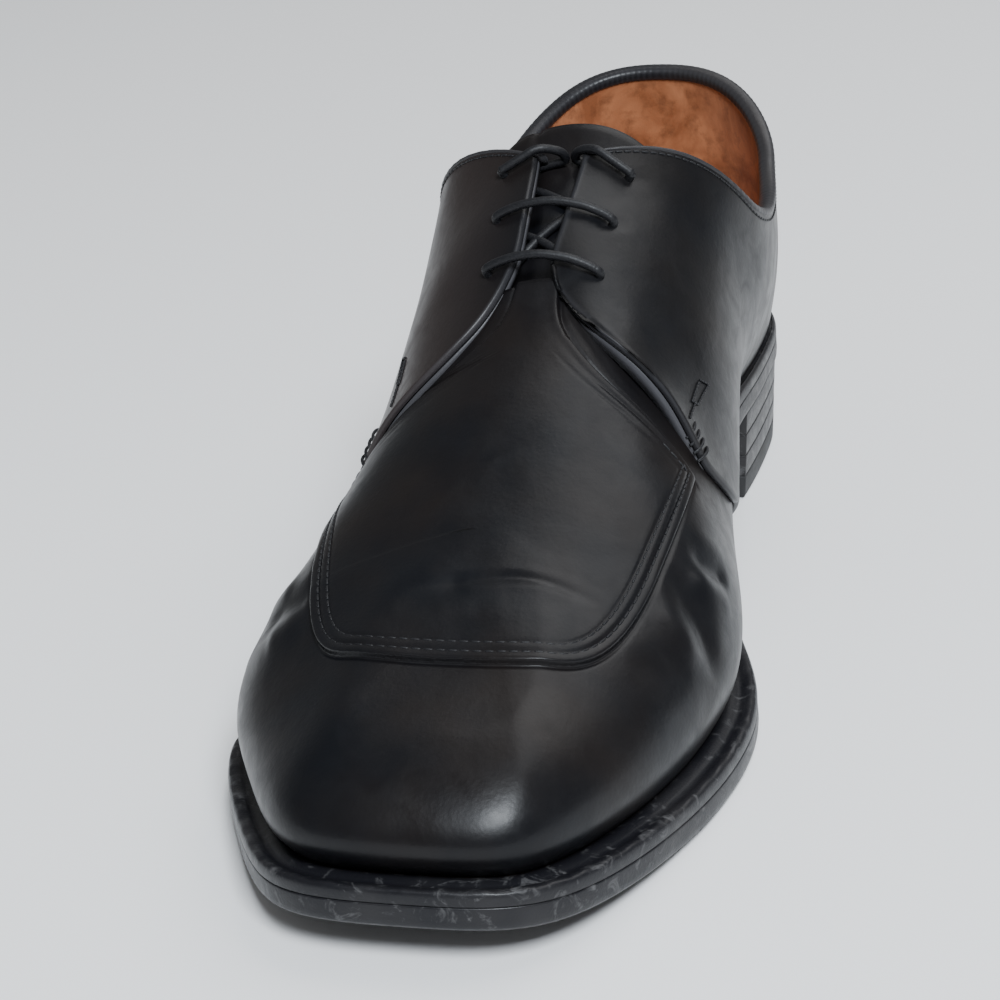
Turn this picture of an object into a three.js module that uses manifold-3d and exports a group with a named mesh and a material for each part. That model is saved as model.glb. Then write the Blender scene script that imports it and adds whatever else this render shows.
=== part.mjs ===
// A right derby shoe with an apron toe, standing empty on its sole.
// Millimetres: x runs from the back of the heel to the toe, y to the inner side of the foot, z up from the floor.
import * as THREE from "three";
import { mergeVertices } from "three/addons/utils/BufferGeometryUtils.js";
import Module from "manifold-3d";

const wasm = await Module();
wasm.setup();

// Driving dimensions
const length = 303;
const ballWidth = 114;
const waistWidth = 66;
const heelWidth = 70;
const heelHeight = 24;
const toeSpring = 9;
const outsoleThickness = 5.5;
const weltThickness = 3.2;
const weltAtToe = 8;
const weltAtHeel = 3.6;
const topPieceThickness = 6;
const heelLifts = 3;
const heelTaper = 1.4;
const insoleThickness = 4;
const wall = 1.8;
const quarterStep = 1.6;
const apronStep = 1.3;
const instepBulge = 12;
const instepRise = 87;
const toeRise = 17;
const backRise = 65;
const ankleRise = 46;
const facingGap = 11.5;
const facingLift = 5;
const knobWidth = 88;
const apronWidth = 80;
const tongueWidth = 68;
const tongueThickness = 2;
const eyeletInset = 7.2;
const laceDiameter = 2.2;
const clearance = 0.3;

// Places along the shoe, as shares of its length
const heelSide = 0.14;
const ballSide = { inner: 0.7, outer: 0.77 };
const breastAlong = 0.255;
const facingTopAlong = 0.405;
const throatAlong = 0.525;
const knobAlong = 0.575;
const apronBackAlong = 0.53;
const apronFrontAlong = 0.853;
const tongueTopAlong = 0.37;
const eyeletsAlong = [0.414, 0.464, 0.512];

const rows = (columns, values) =>
  values.map((value) => Object.fromEntries(columns.map((column, i) => [column, value[i]])));

// Sole width, by the share of the way from the heel's side to the ball of the foot:
// shares of the way from waist width to heel and ball width, and the inner side's share of it
const SOLE_WIDTH = rows(["forward", "toHeel", "toBall", "inner"], [
  [0.0, 1.0, 0.0, 0.5],
  [0.185, 0.5, 0.0, 0.49],
  [0.37, 0.0, 0.0, 0.46],
  [0.52, 0.0, 0.13, 0.46],
  [0.69, 0.0, 0.48, 0.47],
  [0.86, 0.0, 0.86, 0.478],
  [1.0, 0.0, 1.0, 0.477],
]);

// Underside of the sole: share of the heel height, from breast to ball
const ARCH = rows(["along", "up"], [
  [0.265, 1.0],
  [0.34, 0.8],
  [0.42, 0.47],
  [0.5, 0.17],
  [0.56, 0.03],
  [0.6, 0.0],
]);

// The wall round the shoe, at shares of the way from heel back to toe tip along the edge:
// welt as a share from heel to toe welt, bulges as shares of the instep bulge, height of the
// widest line as a share of the instep rise, and the two powers of the section's curve
const RIBS = rows(["round", "welt", "innerBulge", "outerBulge", "widestUp", "broad", "steep"], [
  [0.0, 0.0, 0.14, 0.14, 0.28, 2.2, 2.0],
  [0.09, 0.0, 0.16, 0.16, 0.3, 2.2, 2.0],
  [0.18, 0.0, 0.36, 0.36, 0.38, 2.3, 2.0],
  [0.27, 0.1, 0.85, 0.75, 0.46, 2.5, 2.0],
  [0.36, 0.3, 1.0, 0.8, 0.42, 2.35, 1.95],
  [0.45, 0.55, 0.9, 0.65, 0.32, 1.95, 1.75],
  [0.54, 0.85, 0.6, 0.45, 0.21, 1.8, 1.6],
  [0.61, 0.95, 0.44, 0.42, 0.17, 2.0, 1.65],
  [0.66, 1.0, 0.38, 0.36, 0.16, 2.2, 1.75],
  [0.75, 1.0, 0.36, 0.38, 0.15, 2.4, 1.9],
  [0.85, 1.05, 0.33, 0.33, 0.15, 2.6, 2.0],
  [1.0, 1.1, 0.3, 0.3, 0.15, 2.6, 2.0],
]);

// The ridge over the middle: share of the way from toe rise to instep rise, above the feather line
const RIDGE = rows(["along", "up"], [
  [0.0, 1.43],
  [0.14, 1.57],
  [0.25, 1.43],
  [0.3, 1.25],
  [0.36, 1.09],
  [0.41, 1.0],
  [0.47, 0.97],
  [0.52, 0.9],
  [0.58, 0.77],
  [0.65, 0.62],
  [0.735, 0.44],
  [0.8, 0.335],
  [0.85, 0.243],
  [0.9, 0.157],
  [0.95, 0.07],
  [1.0, 0.0],
]);

// The top edge: shares of the way from ankle rise to back rise, up to the top of the facings
const TOP_LINE = rows(["round", "toBack", "toFacing"], [
  [0.0, 1.0, 0.0],
  [0.09, 0.8, 0.0],
  [0.18, 0.2, 0.0],
  [0.25, 0.0, 0.02],
  [0.31, 0.0, 0.24],
]);

// Facing edges in plan: share of the way from the gap's edge to the knob
const FACING_EDGE = rows(["along", "aside"], [
  [0.38, 0.06],
  [0.43, 0.03],
  [0.48, 0.0],
  [0.515, 0.0],
  [0.53, 0.08],
  [0.546, 0.235],
  [0.5575, 0.42],
  [0.5635, 0.6],
  [0.569, 0.8],
  [0.575, 1.0],
]);

// Apron edge in plan: half-widths at shares of its length, as shares of half its width
const APRON_EDGE = rows(["forward", "inner", "outer"], [
  [0.0, 0.92, 1.1],
  [0.3, 0.95, 1.11],
  [0.6, 0.94, 1.04],
  [1.0, 0.92, 1.0],
]);
const apronPower = 4.2;

// A smooth curve through one column of a table, level at both ends
function smooth(table, key, column) {
  const at = table.map((row) => row[key]);
  const value = table.map((row) => row[column]);
  const last = at.length - 1;
  const span = at.slice(1).map((a, i) => a - at[i]);
  const rise = span.map((h, i) => (value[i + 1] - value[i]) / h);
  const pivot = [];
  const turn = [];
  for (let i = 0; i <= last; i++) {
    const before = i ? span[i - 1] : 0;
    const after = i < last ? span[i] : 0;
    const right = 6 * ((i < last ? rise[i] : 0) - (i ? rise[i - 1] : 0));
    const carried = i ? before / pivot[i - 1] : 0;
    pivot[i] = 2 * (before + after) - carried * before;
    turn[i] = right - carried * (i ? turn[i - 1] : 0);
  }
  for (let i = last; i >= 0; i--) {
    turn[i] = (turn[i] - (i < last ? span[i] * turn[i + 1] : 0)) / pivot[i];
  }
  return (place) => {
    const p = Math.min(Math.max(place, at[0]), at[last]);
    let i = 0;
    while (i < last - 1 && p > at[i + 1]) i++;
    const h = span[i];
    const b = (p - at[i]) / h;
    const a = 1 - b;
    const bend = (a * a * a - a) * turn[i] + (b * b * b - b) * turn[i + 1];
    return a * value[i] + b * value[i + 1] + (bend * h * h) / 6;
  };
}

const mix = (a, b, share) => a + (b - a) * share;

// Sole edge
const heelX = heelSide * length;
const ballX = (length * (ballSide.inner + ballSide.outer)) / 2;
const heelArc = (Math.PI / 2) * heelX;
const toeArc = (Math.PI / 2) * (length - ballX);
const perimeter = heelArc + ballX - heelX + toeArc;
const seatForward = (ARCH[0].along * length - heelX) / (ballX - heelX);
const heelRound = heelArc / perimeter;
const ballRound = 1 - toeArc / perimeter;
const heelPower = 2.2;
// The toe's outline grows squarer from its sides to its tip
const toePower = { inner: { side: 1.75, tip: 2.75 }, outer: { side: 1.55, tip: 2.7 } };
const roundAt = (along) => mix(heelRound, ballRound, (along * length - heelX) / (ballX - heelX));

const toHeel = smooth(SOLE_WIDTH, "forward", "toHeel");
const toBall = smooth(SOLE_WIDTH, "forward", "toBall");
const innerShare = smooth(SOLE_WIDTH, "forward", "inner");

function halfWidth(forward, side) {
  const width =
    waistWidth + toHeel(forward) * (heelWidth - waistWidth) + toBall(forward) * (ballWidth - waistWidth);
  return width * (side > 0 ? innerShare(forward) : 1 - innerShare(forward));
}

// A place round the shoe: 0 heel back, 1 toe tip, back to 2 by the outer side
function place(around) {
  const u = ((around % 2) + 2) % 2;
  return u <= 1 ? { round: u, side: 1 } : { round: 2 - u, side: -1 };
}

function soleEdge(around) {
  const { round, side } = place(around);
  if (round < heelRound) {
    const angle = (Math.PI / 2) * (round / heelRound);
    const x = heelX * (1 - Math.abs(Math.cos(angle)) ** (2 / heelPower));
    return [x, side * halfWidth(0, side) * Math.sin(angle) ** (2 / heelPower)];
  }
  const ball = length * (side > 0 ? ballSide.inner : ballSide.outer);
  if (round <= ballRound) {
    const forward = (round - heelRound) / (ballRound - heelRound);
    const slant = Math.max(0, (forward - seatForward) / (1 - seatForward)) ** 2;
    return [mix(heelX, ballX, forward) + (ball - ballX) * slant, side * halfWidth(forward, side)];
  }
  const angle = (Math.PI / 2) * ((round - ballRound) / (1 - ballRound));
  const { side: atSide, tip } = side > 0 ? toePower.inner : toePower.outer;
  const power = mix(atSide, tip, Math.sin(angle) ** 4);
  const x = ball + (length - ball) * Math.sin(angle) ** (2 / power);
  return [x, side * halfWidth(1, side) * Math.abs(Math.cos(angle)) ** (2 / power)];
}

// The sole's edge moved inwards by an inset, square to the edge
function inset(around, amount) {
  const tiny = 0.002;
  const [x, y] = soleEdge(around);
  const [x0, y0] = soleEdge(around - tiny);
  const [x1, y1] = soleEdge(around + tiny);
  const { round } = place(around);
  if (round < tiny / 2) return [x + amount, 0];
  if (round > 1 - tiny / 2) return [x - amount, 0];
  const run = Math.hypot(x1 - x0, y1 - y0);
  return [x + ((y1 - y0) / run) * amount, y - ((x1 - x0) / run) * amount];
}

// Heights of the sole
const archUp = smooth(ARCH, "along", "up");
const springStart = 0.74 * length;
function underside(x) {
  if (x > springStart) return toeSpring * ((x - springStart) / (length - springStart)) ** 2;
  return heelHeight * archUp(x / length);
}
const outsoleTop = (x) => underside(x) + outsoleThickness;
const weltBottom = (x) => outsoleTop(x) + clearance;
const weltTop = (x) => weltBottom(x) + weltThickness;
const feather = (x) => weltTop(x) + clearance;

// The last: the outer surface of the vamp
const ribs = Object.fromEntries(
  ["welt", "innerBulge", "outerBulge", "widestUp", "broad", "steep"].map((column) => [
    column,
    smooth(RIBS, "round", column),
  ]),
);
const ridgeUp = smooth(RIDGE, "along", "up");
const ridge = (x) => feather(x) + mix(toeRise, instepRise, ridgeUp(x / length));
const weltWidth = (around) => mix(weltAtHeel, weltAtToe, ribs.welt(place(around).round));
const lowerShare = 0.22;
// Where a rib meets the middle line; heel and toe ribs fan out from one point each
const axisX = (round) =>
  mix(heelX, ballX, Math.min(Math.max((round - heelRound) / (ballRound - heelRound), 0), 1));

function last(around, up) {
  const { round, side } = place(around);
  const welt = weltWidth(around);
  const bulge = instepBulge * (side > 0 ? ribs.innerBulge(round) : ribs.outerBulge(round));
  const [fx, fy] = inset(around, welt);
  const [bx, by] = inset(around, welt - bulge);
  const low = feather(fx);
  const wide = low + instepRise * ribs.widestUp(round);
  if (up < lowerShare) {
    const q = up / lowerShare;
    const out = 1 - (1 - q) ** 2;
    return new THREE.Vector3(mix(fx, bx, out), mix(fy, by, out), mix(low, wide, q));
  }
  const angle = (Math.PI / 2) * ((up - lowerShare) / (1 - lowerShare));
  const reach = Math.abs(Math.cos(angle)) ** (2 / ribs.broad(round));
  const x = mix(axisX(round), bx, reach);
  const z = mix(wide, ridge(x), Math.sin(angle) ** (2 / ribs.steep(round)));
  return new THREE.Vector3(x, by * reach, z);
}

// The last's outward normal
function normal(around, up) {
  const tiny = 0.004;
  const top = last(around, 1);
  if (up > 1 - tiny) return new THREE.Vector3(ridge(top.x - 1) - ridge(top.x + 1), 0, 2).normalize();
  const high = Math.min(up, 1 - tiny);
  const low = Math.max(high - tiny, 0);
  const across = last(around + tiny, high).sub(last(around - tiny, high));
  const rising = last(around, high + tiny).sub(last(around, low));
  const out = rising.cross(across).normalize();
  if (place(around).round < tiny / 2 || place(around).round > 1 - tiny / 2) out.y = 0;
  return out.normalize();
}

// A point over or under the last, never lower than the feather line
function skin(around, up, height) {
  const point = last(around, up).addScaledVector(normal(around, up), height);
  point.z = Math.max(point.z, feather(point.x));
  return point;
}

// The share up a rib at which a measure of the point is reached
function upWhere(around, reached) {
  let low = lowerShare;
  let high = 1;
  for (let i = 0; i < 40; i++) {
    const middle = (low + high) / 2;
    if (reached(last(around, middle))) high = middle;
    else low = middle;
  }
  return (low + high) / 2;
}

// The place on the last under a plan position; the ribs slant, so it is found in steps
function placeOver(x, y) {
  const side = y < 0 ? -1 : 1;
  const round = roundAt(x / length);
  if (Math.abs(y) < 0.05) return { around: side * round, up: 1 };
  let around = side * round;
  let up = 1;
  for (let i = 0; i < 5; i++) {
    up = upWhere(around, (p) => Math.abs(p.y) < Math.abs(y));
    around += side * (round - roundAt(last(around, up).x / length));
  }
  return { around, up };
}

// Solids
function solid(positions, faces) {
  const shape = new THREE.BufferGeometry();
  shape.setAttribute("position", new THREE.Float32BufferAttribute(positions, 3));
  if (faces) shape.setIndex(faces);
  return manifold(shape);
}

function manifold(shape, within = 1e-4) {
  const bare = shape.clone();
  bare.deleteAttribute("normal");
  bare.deleteAttribute("uv");
  const merged = mergeVertices(bare, within);
  const corners = merged.index.array;
  const faces = [];
  for (let i = 0; i < corners.length; i += 3) {
    const [a, b, c] = [corners[i], corners[i + 1], corners[i + 2]];
    if (a !== b && b !== c && c !== a) faces.push(a, b, c);
  }
  return new wasm.Manifold(
    new wasm.Mesh({
      numProp: 3,
      vertProperties: merged.attributes.position.array,
      triVerts: new Uint32Array(faces),
    }),
  );
}

// A joined body without its hair-thin slivers and the pinhole pockets that glue fills between plies
function settled(body) {
  const bodies = manifold(geometryOf(body), 2e-3).decompose();
  return bodies.reduce((most, each) => (each.volume() > most.volume() ? each : most));
}

// A wall over a grid of points (rows of equal length) with an outer and an inner side.
// A closed grid joins its last row to its first. Where the two halves meet on the ridge there is no rim.
function shell(outer, inner, closed = false, onRidge = true) {
  const positions = [];
  const faces = [];
  const wide = outer[0].length;
  const tall = outer.length;
  for (const grid of [outer, inner]) for (const row of grid) for (const p of row) positions.push(p.x, p.y, p.z);
  const at = (layer, i, j) => layer * wide * tall + (i % tall) * wide + j;
  const quad = (a, b, c, d) => faces.push(a, c, b, a, d, c);
  const count = closed ? tall : tall - 1;
  for (let i = 0; i < count; i++) {
    for (let j = 0; j < wide - 1; j++) {
      quad(at(0, i, j), at(0, i + 1, j), at(0, i + 1, j + 1), at(0, i, j + 1));
      quad(at(1, i + 1, j + 1), at(1, i + 1, j), at(1, i, j), at(1, i, j + 1));
    }
    quad(at(1, i, 0), at(1, i + 1, 0), at(0, i + 1, 0), at(0, i, 0));
    const end = [outer[i][wide - 1], outer[(i + 1) % tall][wide - 1]];
    if (onRidge && end.every((p) => Math.abs(p.y) < 1e-6)) continue;
    quad(at(0, i, wide - 1), at(0, i + 1, wide - 1), at(1, i + 1, wide - 1), at(1, i, wide - 1));
  }
  if (!closed) {
    for (let j = 0; j < wide - 1; j++) {
      quad(at(0, 0, j), at(0, 0, j + 1), at(1, 0, j + 1), at(1, 0, j));
      quad(at(1, tall - 1, j), at(1, tall - 1, j + 1), at(0, tall - 1, j + 1), at(0, tall - 1, j));
    }
  }
  return solid(positions, faces);
}

// Even steps between two values, ends included
const steps = (from, to, count) => Array.from({ length: count + 1 }, (_, i) => mix(from, to, i / count));

// Places round one side, closer together at the heel, the facings and the toe
const topRound = roundAt(facingTopAlong);
const seatRound = roundAt(ARCH[0].along);
const throatRound = roundAt(throatAlong);
const knobRound = roundAt(knobAlong);
const throatTurn = 0.003;
const sideSteps = [
  ...steps(0, heelRound, 6).slice(0, -1),
  ...steps(heelRound, seatRound, 3).slice(0, -1),
  ...steps(seatRound, topRound, 6).slice(0, -1),
  ...steps(topRound, throatRound - throatTurn, 5),
  ...steps(throatRound, ballRound, 6).slice(0, -1),
  ...steps(ballRound, 1, 12),
];
const wholeRound = [...sideSteps, ...sideSteps.slice(1, -1).reverse().map((round) => 2 - round)];
const rearRound = (to) => sideSteps.filter((round) => round < to - 1e-6).concat(to);
const bothSides = (list) => [...list.slice(1).reverse().map((round) => -round), ...list];

// The top edge's share up each rib
const toBack = smooth(TOP_LINE, "round", "toBack");
const toFacing = smooth([...TOP_LINE, { round: topRound, toBack: 0, toFacing: 1 }], "round", "toFacing");
const facingTopUp = (around) => upWhere(around, (p) => Math.abs(p.y) < facingGap / 2);
function topUp(around) {
  const { round, side } = place(around);
  if (round >= topRound) return facingTopUp(around);
  const facingTop = last(side * topRound, facingTopUp(side * topRound)).z - feather(facingTopAlong * length);
  const rise = mix(mix(ankleRise, backRise, toBack(round)), facingTop, toFacing(round));
  return upWhere(around, (p) => p.z > feather(inset(around, 0)[0]) + rise);
}

const upSteps = 12;
// The inner ply stops this share of a rib short of the top edge
const plyShort = 0.008;
// A patch of the wall between two heights over the last, from feather to the end share of each rib
function patch(arounds, start, end, outerHeight, innerHeight, closed = false, count = upSteps) {
  const grid = (height) =>
    arounds.map((around) =>
      steps(start(around), end(around), count).map((up) => skin(around, up, height(around, up))),
    );
  return shell(grid(outerHeight), grid(innerHeight), closed);
}

// A vertical prism over a plan outline
function prism(outline) {
  const tall = 300;
  const shape = new THREE.Shape(outline.map(([x, y]) => new THREE.Vector2(x, y)));
  const block = new THREE.ExtrudeGeometry(shape, { depth: tall, bevelEnabled: false, steps: 1 });
  block.translate(0, 0, -tall / 3);
  return manifold(block);
}

// Plan curves
const facingShare = smooth(FACING_EDGE, "along", "aside");
const facingAside = (x) => mix(facingGap / 2, knobWidth / 2, facingShare(x / length));
const far = length;

// Everything in front of the facing edges, moved back by an inset
function throatOutline() {
  const start = 0.3 * length;
  const end = knobAlong * length;
  const xs = steps(0, 1, 26).map((s) => mix(start, end, 1 - (1 - s) ** 2));
  const side = [...xs.map((x) => [x, facingAside(x)]), [end, far], [2 * length, far]];
  return [...side.map(([x, y]) => [x, -y]), ...side.reverse()];
}

function apronOutline() {
  const back = apronBackAlong * length;
  const front = apronFrontAlong * length;
  const edge = (side) => {
    const share = smooth(APRON_EDGE, "forward", side > 0 ? "inner" : "outer");
    return steps(0, 1, 28).map((s) => {
      const forward = Math.sin((s * Math.PI) / 2) ** (2 / apronPower);
      const corner = Math.abs(Math.cos((s * Math.PI) / 2)) ** (2 / apronPower);
      return [mix(back, front, forward), side * (apronWidth / 2) * share(forward) * corner];
    });
  };
  return [...edge(-1).slice(0, -1), [front, 0], ...edge(1).slice(0, -1).reverse()];
}

// A plate between level rings, from the lowest up; each ring is the edge at the same places,
// running from the outer side round the heel to the inner side
function plate(rings) {
  const positions = [];
  const faces = [];
  const wide = rings[0].length;
  for (const ring of rings) for (const p of ring) positions.push(p.x, p.y, p.z);
  const at = (k, i) => k * wide + (i % wide);
  const quad = (a, b, c, d) => faces.push(a, b, c, a, c, d);
  for (let k = 0; k < rings.length - 1; k++) {
    for (let i = 0; i < wide; i++) quad(at(k, i), at(k + 1, i), at(k + 1, i + 1), at(k, i + 1));
  }
  const top = rings.length - 1;
  for (let i = 0; i < (wide - 1) / 2; i++) {
    const far = wide - 1 - i;
    quad(at(0, i), at(0, i + 1), at(0, far - 1), at(0, far));
    quad(at(top, far), at(top, far - 1), at(top, i + 1), at(top, i));
  }
  return solid(positions, faces);
}

// One ring of a plate: an inset of the sole's edge at the height of its own x
const ring = (arounds, insetBy, heightAt) =>
  arounds.map((around) => {
    const [x, y] = inset(around, insetBy(around));
    return new THREE.Vector3(x, y, heightAt(x));
  });

const roundSteps = bothSides(sideSteps);
const edgeRound = 0.9;

function makeOutsole() {
  return plate([
    ring(roundSteps, () => edgeRound, underside),
    ring(roundSteps, () => 0, (x) => underside(x) + edgeRound),
    ring(roundSteps, () => 0, (x) => outsoleTop(x) - edgeRound / 2),
    ring(roundSteps, () => edgeRound / 2, outsoleTop),
  ]);
}

const weltInner = (around) => weltWidth(around) + wall;
function makeWelt() {
  const edges = (insetBy, lift) =>
    wholeRound.map((around) => {
      const [x, y] = inset(around, insetBy(around));
      return new THREE.Vector3(x, y, weltBottom(x) + lift);
    });
  const round = edgeRound / 2;
  const outer = [edges(() => round, 0), edges(() => 0, round), edges(() => 0, weltThickness - round)];
  outer.push(edges(() => round, weltThickness));
  const inner = [edges(weltInner, 0), edges(weltInner, weltThickness)];
  const loops = [...outer, ...inner.reverse()];
  const positions = [];
  const faces = [];
  const wide = wholeRound.length;
  for (const loop of loops) for (const p of loop) positions.push(p.x, p.y, p.z);
  loops.forEach((_, k) => {
    const next = (k + 1) % loops.length;
    for (let i = 0; i < wide; i++) {
      const j = (i + 1) % wide;
      faces.push(k * wide + i, next * wide + j, k * wide + j, k * wide + i, next * wide + i, next * wide + j);
    }
  });
  return solid(positions, faces);
}

function makeInsole() {
  const edge = (around) => weltInner(around) + 2 * clearance;
  const top = (x) => weltBottom(x) + weltThickness + insoleThickness - wall;
  return plate([ring(roundSteps, edge, weltBottom), ring(roundSteps, edge, top)]);
}

// Heel: lifts over a top piece, tapering to the floor, with a straight breast
const breastRound = roundAt(breastAlong);
const heelRounds = bothSides([...steps(0, heelRound, 8).slice(0, -1), ...steps(heelRound, breastRound, 4)]);
const liftThickness = (heelHeight - topPieceThickness) / heelLifts;
const heelInset = (z) => 0.6 + heelTaper * (1 - z / heelHeight);
const heelSlab = (low, high) =>
  plate([
    ring(heelRounds, () => heelInset(low), () => low),
    ring(heelRounds, () => heelInset(high), () => high),
  ]);

// Upper: one wall from the feather line up, open underneath, at the throat and at the collar
function liftAt(around, up) {
  const p = last(around, up);
  const aside = Math.abs(p.y);
  const share = (aside - facingGap / 2) / (knobWidth / 2 - facingGap / 2);
  if (share <= 0 || share >= 1) return 0;
  let low = FACING_EDGE[0].along * length;
  let high = knobAlong * length;
  for (let i = 0; i < 24; i++) {
    const middle = (low + high) / 2;
    if (facingAside(middle) > aside) high = middle;
    else low = middle;
  }
  const behind = Math.max(0, (low - p.x) / (0.07 * length));
  return behind < 1 ? facingLift * Math.sin(Math.PI * share) ** 1.5 * (1 - behind) ** 1.5 : 0;
}

function makeUpper() {
  const feet = () => 0;
  const top = (around) => (place(around).round < throatRound - 1e-6 ? topUp(around) - plyShort : 1);
  const base = patch(wholeRound, feet, top, () => 0, () => -wall, true);
  const quarterRound = bothSides(rearRound(roundAt(knobAlong + 0.01)));
  const quarterTop = (around) => (place(around).round < topRound ? topUp(around) : facingTopUp(around));
  const quarters = patch(
    quarterRound,
    feet,
    quarterTop,
    (around, up) => quarterStep + liftAt(around, up),
    (around, up) => liftAt(around, up) - wall / 2,
  ).subtract(prism(throatOutline()));
  const apronBack = roundAt(apronBackAlong - 0.01);
  const toeRounds = sideSteps.filter((round) => round > apronBack);
  const apronRounds = [apronBack, ...toeRounds, ...toeRounds.slice(0, -1).reverse().map((r) => 2 - r)];
  apronRounds.push(2 - apronBack);
  const apron = patch(
    apronRounds,
    () => lowerShare,
    () => 1,
    () => apronStep,
    () => -wall / 2,
    false,
    12,
  ).intersect(prism(apronOutline()));
  const holes = eyelets.map(({ around, up }) => {
    const from = skin(around, up, -2 * wall);
    const to = skin(around, up, quarterStep + facingLift + wall);
    return tube([from, to], laceDiameter + 3 * clearance, 1);
  });
  const joined = holes.reduce((body, hole) => body.subtract(hole), base.add(apron).add(quarters));
  return settled(joined);
}

// Eyelets: a hole in each facing at each row
const eyelets = eyeletsAlong.flatMap((along, row) =>
  [1, -1].map((side) => {
    const x = along * length;
    const aside = facingAside(x) + eyeletInset;
    return { row, side, x, aside, ...placeOver(x, side * aside) };
  }),
);
const eyelet = (row, side) => eyelets.find((each) => each.row === row && each.side === side);

// A round tube through points
function tube(points, diameter, count) {
  const section = new THREE.Shape();
  section.absarc(0, 0, diameter / 2, 0, 2 * Math.PI);
  const path = points.length > 2 ? new THREE.CatmullRomCurve3(points) : new THREE.LineCurve3(...points);
  const shape = new THREE.ExtrudeGeometry(section, {
    steps: count,
    curveSegments: 4,
    extrudePath: path,
    bevelEnabled: false,
  });
  return manifold(shape);
}

// A point over the last at a plan position
function over(x, y, height) {
  const { around, up } = placeOver(x, y);
  return skin(around, up, height);
}

const laceUnder = -(wall + clearance + laceDiameter / 2);
const laceOver = quarterStep + clearance + laceDiameter / 2;
const tongueDepth = wall + laceDiameter + 2 * clearance;

function makeLace() {
  const raised = ({ around, up }) => laceOver + liftAt(around, up);
  const pin = (at) => {
    const top = at.row ? raised(at) : quarterStep;
    return tube([skin(at.around, at.up, laceUnder), skin(at.around, at.up, top)], laceDiameter, 1);
  };
  const bar = (row) => {
    const [left, right] = [eyelet(row, 1), eyelet(row, -1)];
    const points = steps(-1, 1, 6).map((s) => over(left.x, left.aside * -s, raised(left) + 0.6 * (1 - s * s)));
    return tube(points, laceDiameter, 8).add(pin(left)).add(pin(right));
  };
  const crossing = (from, to) => {
    const points = steps(0, 1, 8).map((s) =>
      over(mix(from.x, to.x, s), mix(from.side * from.aside, to.side * to.aside, s), laceUnder),
    );
    return tube(points, laceDiameter, 8);
  };
  return bar(1)
    .add(bar(2))
    .add(crossing(eyelet(2, 1), eyelet(1, -1)))
    .add(crossing(eyelet(2, -1), eyelet(0, 1)))
    .add(crossing(eyelet(1, 1), eyelet(0, -1)))
    .add(pin(eyelet(0, 1)))
    .add(pin(eyelet(0, -1)));
}

// Each lace end leaves its top eyelet, turns over the facing's edge and is tucked in under it
const LACE_END = rows(["back", "aside", "height"], [
  [0.0, 1.0, 0.0],
  [1.2, 0.72, 0.1],
  [2.8, 0.44, 0.25],
  [3.8, 0.16, -0.4],
  [3.7, 0.1, -0.9],
  [3.3, 0.4, -1.02],
  [3.0, 0.75, -1.02],
  [2.8, 1.15, -1.02],
  [2.6, 1.6, -1.02],
]);
function makeLaceEnd(side) {
  const { x, aside } = eyelet(0, side);
  const points = LACE_END.map((row) => {
    const height = row.height < 0 ? mix(laceOver, laceUnder, -row.height) : laceOver + row.height + clearance;
    return over(x - row.back, side * aside * row.aside, height);
  });
  return tube(points, laceDiameter, 12);
}

// Tongue: under the facings, its foot under the edge of the vamp
function makeTongue() {
  const top = tongueTopAlong * length;
  const foot = (throatAlong + 0.065) * length;
  const vampEdge = (throatAlong + 0.05) * length;
  const grid = (extra) =>
    steps(0, 1, 12).map((s) => {
      const x = mix(top, foot, s);
      const rising = Math.min(Math.max((x - vampEdge + 12) / 12, 0), 1);
      const depth = mix(tongueDepth, wall + 2 * clearance, rising * rising * (3 - 2 * rising)) + extra;
      const cornered = Math.sqrt(Math.min(1, (s + 0.03) / 0.15));
      return steps(1, -1, 12).map((t) => over(x, (t * tongueWidth * cornered) / 2, -depth));
    });
  return shell(grid(0), grid(tongueThickness), false, false);
}

const leather = { color: 0x111216, roughness: 0.3, metalness: 0 };
const soleEdgePaint = { color: 0x0d0d0f, roughness: 0.45, metalness: 0 };
const tan = { color: 0x9a5a2c, roughness: 0.7, metalness: 0 };
const cotton = { color: 0x08080a, roughness: 0.8, metalness: 0 };

const pieces = [
  ["outsole", makeOutsole, soleEdgePaint],
  ["welt", makeWelt, soleEdgePaint],
  ["insole", makeInsole, tan],
  ["upper", makeUpper, leather],
  ["tongue", makeTongue, leather],
  ["heel_top_piece", () => heelSlab(0, topPieceThickness), soleEdgePaint],
  ["lace", makeLace, cotton],
  ["lace_end_inner", () => makeLaceEnd(1), cotton],
  ["lace_end_outer", () => makeLaceEnd(-1), cotton],
];
for (let i = 0; i < heelLifts; i++) {
  const low = topPieceThickness + i * liftThickness;
  pieces.push([`heel_lift_${i + 1}`, () => heelSlab(low, low + liftThickness), soleEdgePaint]);
}

function geometryOf(body) {
  const mesh = body.getMesh();
  const shape = new THREE.BufferGeometry();
  const points = new Float32Array(mesh.numVert * 3);
  for (let i = 0; i < mesh.numVert; i++) {
    for (let k = 0; k < 3; k++) points[3 * i + k] = mesh.vertProperties[i * mesh.numProp + k];
  }
  shape.setAttribute("position", new THREE.BufferAttribute(points, 3));
  shape.setIndex(new THREE.BufferAttribute(new Uint32Array(mesh.triVerts), 1));
  shape.computeVertexNormals();
  return shape;
}

const group = new THREE.Group();
for (const [name, make, finish] of pieces) {
  const mesh = new THREE.Mesh(geometryOf(make()), new THREE.MeshStandardMaterial(finish));
  mesh.name = name;
  group.add(mesh);
}

// The origin is on the floor under the middle of the shoe's box
const box = new THREE.Box3().setFromObject(group);
group.position.set(-(box.min.x + box.max.x) / 2, -(box.min.y + box.max.y) / 2, -box.min.z);

export default group;
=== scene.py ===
import math
import bmesh
import bpy
import numpy as np
from mathutils import Matrix, Vector


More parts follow.
